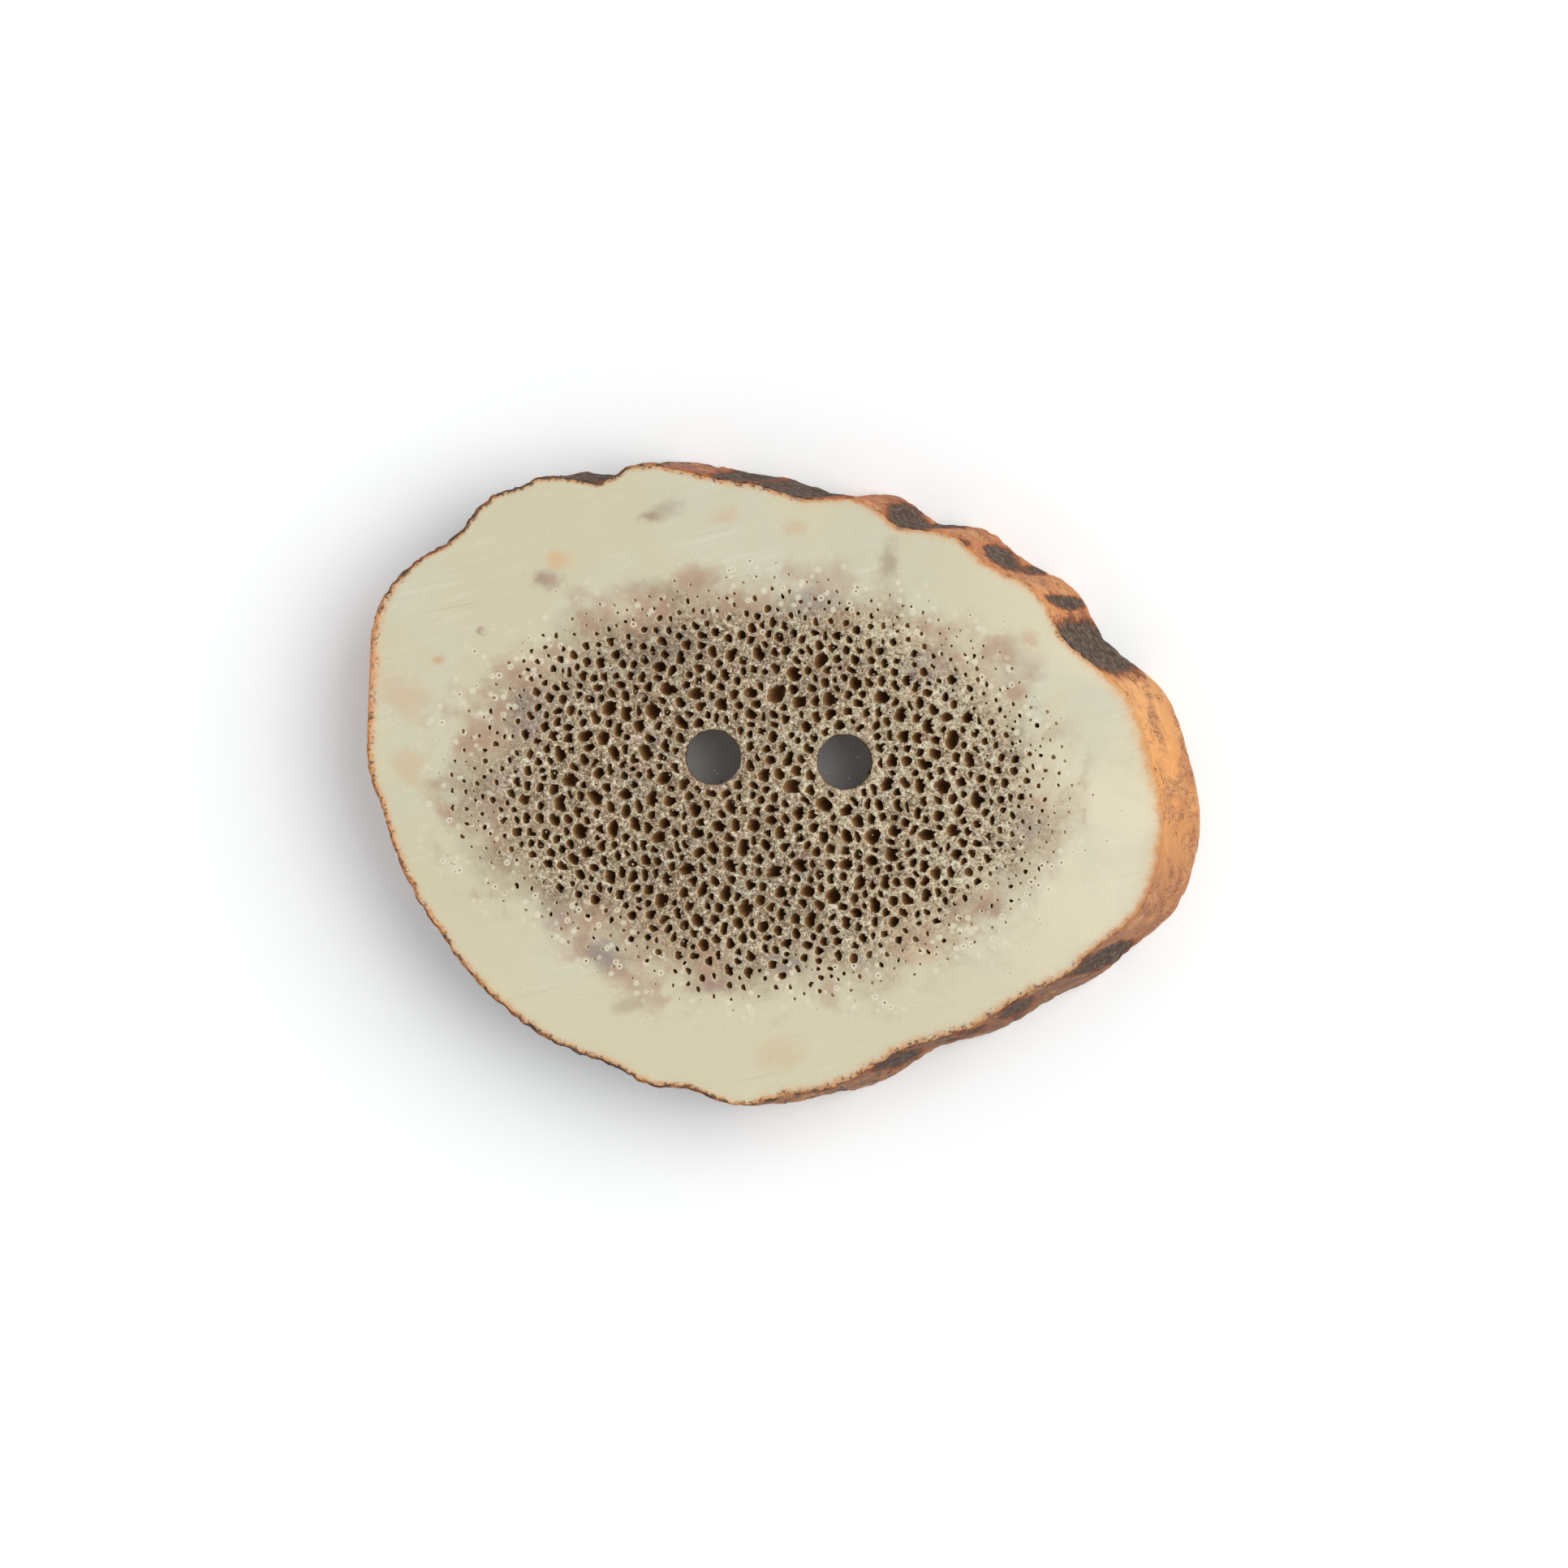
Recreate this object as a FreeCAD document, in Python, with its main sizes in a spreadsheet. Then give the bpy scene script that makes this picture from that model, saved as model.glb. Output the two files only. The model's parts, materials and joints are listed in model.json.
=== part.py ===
import FreeCAD, Part
import math
import os
import random
import Sketcher
from collections import namedtuple
from FreeCAD import Vector

# Antler button: one slanting slice sawn off an antler, with its bark left on the rim,
# two thread holes drilled through and the pores of the spongy core open on both faces.
# Millimetres. The origin lies on the back face, midway between the thread holes.
# X runs through the two holes, Z points out of the front face.

LABEL = "antler_button"

# Driving sizes of the slice
SLICE = {
    "thickness": 4.8,
    "slant_across": 1.8,        # the back face lies this far to the right of the front face
    "slant_up": 0.2,            # and this far towards the top
    "flare": 0.05,              # the antler grows thicker towards the back by this much
    "waist": 0.08,              # the bark draws in by this much at half the thickness
    "rim_break": 0.16,          # sanded break between the bark and each face
}

# Thread holes
HOLES = {
    "hole_diameter": 2.5,
    "hole_spacing": 6.0,
    "hole_break": 0.15,         # broken edge of each hole mouth
    "hole_land": 0.25,          # bone left whole round each hole mouth
}

# Spongy core: an oval in the middle of each face, measured at the front
CORE = {
    "core_length": 27.0,
    "core_height": 18.0,
    "core_across": -0.6,        # middle of the oval from the middle of the holes
    "core_up": -1.4,
    "compact_wall": 2.4,        # least solid bone between a pore and the bark
    "pore_wall": 0.17,          # least wall between two pores
    "front_pore_depth": 1.3,
    "back_pore_depth": 1.0,
    "back_land": 0.8,           # bone left whole round the middle of the back face
    "large_pore": 0.88,         # width of the pores, by class
    "medium_pore": 0.66,
    "small_pore": 0.46,
}

# Rim of the front face: angle from the right, and radius from the middle of the holes.
# The points are the crests of the bark, its hollows, and the flats between them.
RIM = (
    (0, 17.2), (8, 16.6), (14, 15.95), (19, 14.95), (24, 14.2), (32, 14.1), (37, 13.9),
    (42, 13.3), (50, 13.0), (56, 12.85), (61, 12.3), (64.5, 12.0), (69, 12.2), (76, 12.4), (84, 12.05),
    (91, 12.2), (98, 12.75), (104, 13.2), (111, 14.0), (120, 15.05), (124, 15.05),
    (131, 16.65), (135, 17.1), (140.5, 17.8), (145.5, 17.85), (152, 18.65), (161, 19.6),
    (168, 19.3), (175, 18.95), (183.5, 18.75), (190, 18.25), (197, 18.0), (203, 17.75),
    (211, 17.35), (217.5, 17.2), (224, 16.9), (232, 16.6), (238, 16.2), (243, 15.9),
    (249.5, 16.0), (256, 15.6), (265, 15.9), (273, 15.45), (281, 15.2), (289, 14.7),
    (295, 14.4), (303, 14.8), (311, 15.2), (319, 15.65), (325, 16.4), (331, 16.85),
    (338, 17.75), (345, 17.95), (352, 17.8),
)

# Pores of one class: the size that gives their width, how many each face has, and how far
# they spread from the middle of the core (0) towards its edge (1)
PoreClass = namedtuple("PoreClass", "width front_count back_count spread")
PORE_CLASSES = (
    PoreClass("large_pore", 90, 40, 0.72),
    PoreClass("medium_pore", 115, 50, 0.88),
    PoreClass("small_pore", 95, 30, 1.0),
)
PORE_SIDES = 5
TRIES_PER_PORE = 60             # random places tried before a pore is given up
FRONT_SEED = 11
BACK_SEED = 29

Pore = namedtuple("Pore", "across up radius")


def rim_alias(angle):
    """Name of the cell that holds the rim radius at an angle."""
    return "rim_at_" + str(angle).replace(".", "_")


def make_sheet(doc):
    """Spreadsheet with every driving size, one row each, alias in the second column."""
    sheet = doc.addObject("Spreadsheet::Sheet", "Sizes")
    rows = {**SLICE, **HOLES, **CORE}
    rows.update({rim_alias(angle): radius for angle, radius in RIM})
    for row, (alias, value) in enumerate(rows.items(), start=1):
        sheet.set(f"A{row}", alias)
        sheet.set(f"B{row}", str(value))
        sheet.setAlias(f"B{row}", alias)
    doc.recompute()
    return sheet


def base_plane(body):
    """The body's own XY plane."""
    return next(plane for plane in body.Origin.OriginFeatures if plane.Role == "XY_Plane")


def flat_sketch(body, name, height=None):
    """Sketch parallel to the faces of the slice, at a height given as an expression."""
    sketch = body.newObject("Sketcher::SketchObject", name)
    sketch.AttachmentSupport = (base_plane(body), [""])
    sketch.MapMode = "FlatFace"
    if height:
        sketch.setExpression("AttachmentOffset.Base.z", height)
    return sketch


def rim_curve(sheet, outward, slant_share):
    """Closed spline round the bark, grown outward and moved along the slant."""
    points = []
    for angle, _ in RIM:
        radius = sheet.get(rim_alias(angle)) + outward
        turn = math.radians(angle)
        points.append(Vector(
            radius * math.cos(turn) + slant_share * sheet.slant_across,
            radius * math.sin(turn) + slant_share * sheet.slant_up,
            0,
        ))
    turns = [angle / 360 for angle, _ in RIM] + [1.0]
    curve = Part.BSplineCurve()
    curve.interpolate(Points=points, PeriodicFlag=True, Parameters=turns)
    return curve


def make_slice(body, sheet):
    """Loft of the bark from the back face to the front, with both rims broken."""
    broken = sheet.rim_break / sheet.thickness
    sections = (
        ("back_rim", None, sheet.flare - sheet.rim_break, 1.0),
        ("back_shoulder", "Sizes.rim_break", sheet.flare, 1.0 - broken),
        ("waist_line", "Sizes.thickness / 2", sheet.flare / 2 - sheet.waist, 0.5),
        ("front_shoulder", "Sizes.thickness - Sizes.rim_break", 0.0, broken),
        ("front_rim", "Sizes.thickness", -sheet.rim_break, 0.0),
    )
    sketches = []
    for name, height, outward, slant_share in sections:
        sketch = flat_sketch(body, name, height)
        sketch.addGeometry(rim_curve(sheet, outward, slant_share), False)
        sketches.append(sketch)
    loft = body.newObject("PartDesign::AdditiveLoft", "bark_slice")
    loft.Profile = sketches[0]
    loft.Sections = sketches[1:]
    loft.Ruled = True
    return loft


def make_thread_holes(body, sheet):
    """Two holes drilled straight through, with their mouths broken."""
    sketch = flat_sketch(body, "thread_hole_circles", "Sizes.thickness")
    axis = -1
    origin_point = 1
    centre_point = 3
    for name, side in (("left", -1), ("right", 1)):
        centre = Vector(side * sheet.hole_spacing / 2, 0, 0)
        circle = sketch.addGeometry(Part.Circle(centre, Vector(0, 0, 1), sheet.hole_diameter / 2))
        sketch.addConstraint(Sketcher.Constraint("PointOnObject", circle, centre_point, axis))
        spacing = sketch.addConstraint(Sketcher.Constraint(
            "DistanceX", axis, origin_point, circle, centre_point, centre.x))
        sketch.renameConstraint(spacing, f"{name}_hole_place")
        sketch.setExpression(f"Constraints.{name}_hole_place", f"{side} * Sizes.hole_spacing / 2")
        width = sketch.addConstraint(Sketcher.Constraint("Diameter", circle, sheet.hole_diameter))
        sketch.renameConstraint(width, f"{name}_hole_width")
        sketch.setExpression(f"Constraints.{name}_hole_width", "Sizes.hole_diameter")
    holes = body.newObject("PartDesign::Pocket", "thread_holes")
    holes.Profile = sketch
    holes.Type = "ThroughAll"
    body.Document.recompute()

    mouths = [
        f"Edge{index}" for index, edge in enumerate(holes.Shape.Edges, start=1)
        if isinstance(edge.Curve, Part.Circle) and edge.Closed
    ]
    breaks = body.newObject("PartDesign::Chamfer", "hole_mouths")
    breaks.Base = (holes, mouths)
    breaks.setExpression("Size", "Sizes.hole_break")
    return breaks


def rim_radius(sheet, turn):
    """Radius of the front rim in any direction, straight between the rim points."""
    degrees = math.degrees(turn) % 360
    angles = [angle for angle, _ in RIM] + [360]
    after = next(index for index, angle in enumerate(angles) if angle > degrees)
    start, end = angles[after - 1], angles[after]
    share = (degrees - start) / (end - start)
    return ((1 - share) * sheet.get(rim_alias(start))
            + share * sheet.get(rim_alias(end % 360)))


def pore_fits(pore, taken, shift, keep_clear, sheet):
    """Whether a pore lies inside the compact bone and clear of its neighbours and the holes."""
    across, up = pore.across - shift.x, pore.up - shift.y
    reach = math.hypot(across, up) + pore.radius + sheet.compact_wall
    if reach > rim_radius(sheet, math.atan2(up, across)):
        return False
    for place, radius in keep_clear:
        if math.hypot(pore.across - place.x, pore.up - place.y) < radius + pore.radius:
            return False
    return all(
        math.hypot(pore.across - other.across, pore.up - other.up)
        > pore.radius + other.radius + sheet.pore_wall
        for other in taken
    )


def scatter_pores(sheet, counts, shift, keep_clear, draw):
    """Places and sizes of the pores of one face, the widest first and nearest the middle."""
    pores = []
    for pore_class, count in zip(PORE_CLASSES, counts):
        half_width = sheet.get(pore_class.width) / 2
        wanted = len(pores) + count
        for _ in range(count * TRIES_PER_PORE):
            if len(pores) == wanted:
                break
            turn = draw.uniform(0, 2 * math.pi)
            reach = pore_class.spread * math.sqrt(draw.random())
            pore = Pore(
                sheet.core_across + shift.x + reach * sheet.core_length / 2 * math.cos(turn),
                sheet.core_up + shift.y + reach * sheet.core_height / 2 * math.sin(turn),
                half_width * draw.uniform(0.85, 1.1),
            )
            if pore_fits(pore, pores, shift, keep_clear, sheet):
                pores.append(pore)
    return pores


def pore_outline(pore, draw):
    """Sides of an irregular longish polygon inside the pore's circle."""
    lie = draw.uniform(0, math.pi)
    narrow = draw.uniform(0.62, 0.95)
    corners = []
    for corner in range(PORE_SIDES):
        turn = 2 * math.pi * (corner + draw.uniform(-0.22, 0.22)) / PORE_SIDES
        along = pore.radius * math.cos(turn)
        beside = pore.radius * narrow * math.sin(turn)
        corners.append(Vector(
            pore.across + along * math.cos(lie) - beside * math.sin(lie),
            pore.up + along * math.sin(lie) + beside * math.cos(lie),
            0,
        ))
    return [Part.LineSegment(*side) for side in zip(corners, corners[1:] + corners[:1])]


def make_pores(body, sheet, face, counts, depth, seed):
    """Blind pores sunk into one face of the core."""
    front = face == "front"
    shift = Vector(0, 0, 0) if front else Vector(sheet.slant_across, sheet.slant_up, 0)
    mouth = sheet.hole_diameter / 2 + sheet.hole_break + sheet.hole_land
    keep_clear = [(Vector(side * sheet.hole_spacing / 2, 0, 0), mouth) for side in (-1, 1)]
    if not front:
        keep_clear.append((Vector(0, 0, 0), sheet.back_land))
    draw = random.Random(seed)
    sketch = flat_sketch(body, f"{face}_pore_outlines", "Sizes.thickness" if front else None)
    sides = []
    for pore in scatter_pores(sheet, counts, shift, keep_clear, draw):
        sides.extend(pore_outline(pore, draw))
    sketch.addGeometry(sides, False)
    pores = body.newObject("PartDesign::Pocket", f"{face}_pores")
    pores.Profile = sketch
    pores.Reversed = not front
    pores.Refine = False
    pores.setExpression("Length", depth)
    return pores


def check(doc, body, volumes):
    """Stop on a failed object, an invalid solid, or a cut that took nothing away."""
    for item in doc.Objects:
        if "Invalid" in item.State or "Error" in item.State:
            raise RuntimeError(f"{item.Name} failed: {item.State}")
    if body.Shape.isNull() or not body.Shape.isValid() or len(body.Shape.Solids) != 1:
        raise RuntimeError(f"{body.Label} is not one valid solid")
    for (before, more), (after, less) in zip(volumes, volumes[1:]):
        if less >= more:
            raise RuntimeError(f"{after} cut nothing from {before}")


def main():
    """Build the button and write its solid."""
    doc = FreeCAD.newDocument("antler_button_model")
    sheet = make_sheet(doc)
    body = doc.addObject("PartDesign::Body", "button_body")
    body.Label = LABEL
    front_counts = [pore_class.front_count for pore_class in PORE_CLASSES]
    back_counts = [pore_class.back_count for pore_class in PORE_CLASSES]
    steps = (
        lambda: make_slice(body, sheet),
        lambda: make_thread_holes(body, sheet),
        lambda: make_pores(body, sheet, "front", front_counts, "Sizes.front_pore_depth", FRONT_SEED),
        lambda: make_pores(body, sheet, "back", back_counts, "Sizes.back_pore_depth", BACK_SEED),
    )
    volumes = []
    for step in steps:
        feature = step()
        doc.recompute()
        volumes.append((feature.Name, feature.Shape.Volume))
        print(f"{feature.Name}: {feature.Shape.Volume:.1f} mm3, {len(feature.Shape.Faces)} faces")
    check(doc, body, volumes)

    box = body.Shape.BoundBox
    print(f"size {box.XLength:.2f} x {box.YLength:.2f} x {box.ZLength:.2f} mm")
    os.makedirs("parts", exist_ok=True)
    body.Shape.exportStep(f"parts/{body.Label}.step")


main()
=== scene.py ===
import json
import logging
import math
import random
from dataclasses import dataclass, field
from enum import Enum

import bmesh
import bpy
import numpy as np
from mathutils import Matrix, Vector, noise
from mathutils.bvhtree import BVHTree


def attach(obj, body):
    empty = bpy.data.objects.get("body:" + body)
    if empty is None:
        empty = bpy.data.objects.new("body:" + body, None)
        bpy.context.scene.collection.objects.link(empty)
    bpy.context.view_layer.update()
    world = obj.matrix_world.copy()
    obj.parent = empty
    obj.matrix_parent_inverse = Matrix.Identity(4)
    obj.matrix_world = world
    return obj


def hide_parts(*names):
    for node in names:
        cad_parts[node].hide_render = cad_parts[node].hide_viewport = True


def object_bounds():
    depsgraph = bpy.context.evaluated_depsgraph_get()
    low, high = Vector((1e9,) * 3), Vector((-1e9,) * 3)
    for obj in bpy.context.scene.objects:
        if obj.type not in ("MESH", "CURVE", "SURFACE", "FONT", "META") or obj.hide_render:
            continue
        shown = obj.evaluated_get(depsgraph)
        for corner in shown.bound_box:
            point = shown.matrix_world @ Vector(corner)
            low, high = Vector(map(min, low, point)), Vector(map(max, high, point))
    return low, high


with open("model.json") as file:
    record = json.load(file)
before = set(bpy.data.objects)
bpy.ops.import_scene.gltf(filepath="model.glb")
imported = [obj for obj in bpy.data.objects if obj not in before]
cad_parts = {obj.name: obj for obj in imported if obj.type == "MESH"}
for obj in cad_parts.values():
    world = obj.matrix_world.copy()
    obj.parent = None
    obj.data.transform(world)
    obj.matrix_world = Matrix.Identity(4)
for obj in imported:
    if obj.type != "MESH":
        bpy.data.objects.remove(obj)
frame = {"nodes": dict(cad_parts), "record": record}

# Antler button: one slanting slice of antler with its bark, two thread holes and the open
# pores of its spongy core. Shapes are worked out in millimetres on the frame's own axes,
# and the finished mesh is written in metres.

LOG = logging.getLogger("antler_button")
MM = 0.001
NODE = "antler_button"
PIECE = "antler_slice"
BODY = "root"
CAD_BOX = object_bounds()
CAD_LOW, CAD_HIGH = (np.array(corner) / MM for corner in CAD_BOX)

Colour = tuple[float, float, float, float]
Socket = bpy.types.NodeSocket
Vert = bmesh.types.BMVert
Edge = bmesh.types.BMEdge


def tone(red: int, green: int, blue: int) -> Colour:
    """Linear colour of a tone read off on a scale of 0 to 255.

    Args:
        red: red part
        green: green part
        blue: blue part

    Returns:
        The linear colour with full alpha.
    """
    def linear(level: int) -> float:
        """One part of the colour as linear light."""
        share = level / 255
        return share / 12.92 if share <= 0.04045 else ((share + 0.055) / 1.055) ** 2.4

    return (linear(red), linear(green), linear(blue), 1.0)


def smooth_step(low: float, high: float, value: float) -> float:
    """Smooth rise from 0 at low to 1 at high; low may be the larger."""
    share = min(1.0, max(0.0, (value - low) / (high - low)))
    return share * share * (3 - 2 * share)


def turn_past(first: float, second: float) -> float:
    """How far the first direction is past the second one, in degrees from -180 to 180."""
    return (first - second + 180) % 360 - 180


class Side(Enum):
    """A sawn face of the slice; the value is the way it looks along Z."""

    FRONT = 1
    BACK = -1


class Slot(Enum):
    """Material slots of the slice, in order."""

    SAWN = 0
    PORE = 1
    BARK = 2
    BORE = 3


@dataclass(frozen=True)
class BarkTone:
    """Colour of the bark in one direction; it blends round to the next one.

    Attributes:
        turn: direction from the middle of the button, in degrees
        colour: the bark there
        glow: width of the warm fringe that it leaves inside the sawn face, in mm
        rough: how coarse the bark is there, from 0 to 1
    """

    turn: float
    colour: Colour
    glow: float
    rough: float


@dataclass(frozen=True)
class BarkPatch:
    """A dark velvety hollow in the bark.

    Attributes:
        turn: direction of its middle, in degrees
        half_width: half its width, in degrees
        height: height of its middle, in mm
        half_height: half its height, in mm
        climb: how much it rises in a degree, in mm
        strength: how dark it is, from 0 to 1
        scoop: how far the front edge is cut back in it, in mm
    """

    turn: float
    half_width: float
    height: float = 2.4
    half_height: float = 6.0
    climb: float = 0.0
    strength: float = 1.0
    scoop: float = 0.0


@dataclass(frozen=True)
class Stain:
    """A soft stain on the front face.

    Attributes:
        across: place along X, in mm
        up: place along Y, in mm
        length: half its length, in mm
        width: half its width, in mm
        colour: tone in its middle
        strength: how much it covers
        turn: direction of its length, in degrees
    """

    across: float
    up: float
    length: float
    width: float
    colour: Colour
    strength: float = 0.7
    turn: float = 0.0


@dataclass(frozen=True)
class PoreKind:
    """Pores that fill the gaps between wider ones.

    Attributes:
        narrowest: least half width, in mm
        widest: greatest half width, in mm
        sides: corners of the outline
        count: how many are wanted on the front face
        spread: how far they reach, as a share of the core
        depth: how deep they go, in mm
        rings: how many rings of faces line one
    """

    narrowest: float
    widest: float
    sides: int
    count: int
    spread: float
    depth: float
    rings: int


@dataclass
class Pore:
    """One pore: its outline on the face and how it is sunk.

    Attributes:
        middle: its middle on the face
        outline: outer edge of its lip, corner by corner
        lip: width of the rounded lip
        depth: how deep it goes
        rings: rings of faces that line it
        lean: sideways shift of its floor
    """

    middle: np.ndarray
    outline: np.ndarray
    lip: float
    depth: float
    rings: int
    lean: np.ndarray


BARK_TONES = (
    BarkTone(0, tone(226, 158, 92), 0.9, 0.12),
    BarkTone(12, tone(228, 166, 104), 0.95, 0.15),
    BarkTone(24, tone(200, 134, 82), 0.45, 0.5),
    BarkTone(40, tone(204, 136, 84), 0.50, 0.4),
    BarkTone(60, tone(190, 118, 74), 0.50, 0.45),
    BarkTone(85, tone(172, 104, 66), 0.40, 0.45),
    BarkTone(105, tone(178, 96, 58), 0.40, 0.6),
    BarkTone(125, tone(122, 98, 76), 0.3, 0.9),
    BarkTone(150, tone(124, 104, 84), 0.3, 1.0),
    BarkTone(168, tone(214, 150, 106), 0.75, 0.5),
    BarkTone(185, tone(196, 134, 92), 0.45, 0.6),
    BarkTone(215, tone(172, 114, 74), 0.40, 0.8),
    BarkTone(240, tone(158, 98, 62), 0.40, 1.0),
    BarkTone(262, tone(184, 118, 70), 0.35, 0.8),
    BarkTone(280, tone(136, 94, 66), 0.6, 0.62),
    BarkTone(305, tone(110, 82, 64), 0.65, 0.62),
    BarkTone(325, tone(122, 86, 64), 0.65, 0.55),
    BarkTone(340, tone(184, 124, 80), 0.7, 0.35),
)

BARK_PATCHES = (
    BarkPatch(22.4, 6.8),
    BarkPatch(32.4, 2.0, 2.2, 2.0, 0.35, 0.95),
    BarkPatch(46.4, 5.0, 2.3, 1.7, -0.1, 1.0),
    BarkPatch(42.0, 2.4, 1.2, 1.4, 0.0, 0.7),
    BarkPatch(51.5, 2.0, 4.5, 0.9, 0.0, 0.6),
    BarkPatch(66.0, 7.0, 2.8, 2.5, -0.16),
    BarkPatch(61.5, 4.0, 1.2, 2.2, 0.0, 0.9),
    BarkPatch(91.5, 7.4),
    BarkPatch(102.5, 6.0, 2.2, 3.6, 0.0, 0.95, 0.08),
    BarkPatch(128.0, 3.4, strength=0.95, scoop=0.12),
    BarkPatch(141.0, 2.0, strength=0.5),
    BarkPatch(152.0, 3.5, strength=0.5),
    BarkPatch(206.6, 2.0, strength=0.5),
    BarkPatch(224.0, 2.4, strength=0.55),
    BarkPatch(248.0, 3.6, 1.5, 2.4, 0.0, 0.7),
    BarkPatch(256.5, 2.6, strength=0.7),
    BarkPatch(291.0, 4.4, 3.2, 2.6, 0.1, 0.9),
    BarkPatch(299.4, 2.4, 2.0, 1.4, 0.0, 0.7),
    BarkPatch(305.7, 4.0, 3.4, 1.8, 0.2, 0.75),
    BarkPatch(313.7, 4.4, 3.2, 2.0, 0.2, 0.85),
    BarkPatch(328.6, 4.4, 2.4, 2.6, -0.25, 0.95),
)

UMBER = tone(150, 122, 100)
PLUM = tone(152, 118, 108)
PEACH = tone(206, 180, 146)
LILAC = tone(132, 120, 118)
SOOT = tone(112, 94, 82)

STAINS = (
    Stain(-10.9, 7.8, 0.9, 0.5, PLUM, 0.7),
    Stain(-10.4, 8.8, 0.7, 0.5, tone(214, 172, 124), 0.6),
    Stain(-15.7, 4.0, 0.35, 0.25, tone(200, 150, 110), 0.6),
    Stain(-5.7, 11.2, 1.3, 0.5, UMBER, 0.4, 25),
    Stain(-6.3, 10.9, 0.45, 0.25, UMBER, 0.6),
    Stain(-2.8, 11.0, 1.0, 0.5, PEACH, 0.55, 10),
    Stain(0.4, 10.6, 0.8, 0.5, PEACH, 0.6),
    Stain(4.7, 9.3, 0.55, 0.95, UMBER, 0.55),
    Stain(11.2, 5.9, 0.5, 0.5, tone(196, 160, 124), 0.6),
    Stain(10.7, 3.5, 0.8, 0.6, tone(168, 134, 104), 0.7),
    Stain(-17.1, 2.2, 1.1, 1.5, PEACH, 0.7, 60),
    Stain(-16.8, -0.9, 1.0, 0.9, PEACH, 0.7),
    Stain(-13.8, 5.4, 0.3, 0.25, PLUM, 0.7),
    Stain(0.5, -13.4, 1.4, 0.9, PEACH, 0.5, 20),
    Stain(-6.4, -11.4, 1.2, 0.45, UMBER, 0.4, 10),
    Stain(11.6, -2.6, 0.9, 0.9, LILAC, 0.4),
    Stain(10.0, -6.5, 0.9, 0.5, UMBER, 0.6),
    Stain(6.9, -8.7, 0.9, 0.5, PEACH, 0.7),
    Stain(-2.6, -10.4, 1.2, 0.5, PLUM, 0.75),
    Stain(-7.8, -9.2, 1.3, 0.8, LILAC, 0.65, -20),
    Stain(-9.8, -7.6, 0.9, 0.7, PLUM, 0.6),
    Stain(0.4, -9.3, 1.4, 0.6, LILAC, 0.55),
    Stain(-5.4, 4.9, 2.4, 1.3, SOOT, 0.5, 10),
    Stain(-11.6, 1.6, 1.4, 1.2, LILAC, 0.5, 60),
    Stain(-12.9, -2.4, 1.2, 0.9, PLUM, 0.45, 80),
    Stain(1.4, 7.3, 1.8, 0.6, LILAC, 0.45),
    Stain(-5.9, 7.6, 1.5, 0.6, UMBER, 0.4),
    Stain(6.6, 4.6, 1.4, 1.0, LILAC, 0.4, 30),
)


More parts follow.
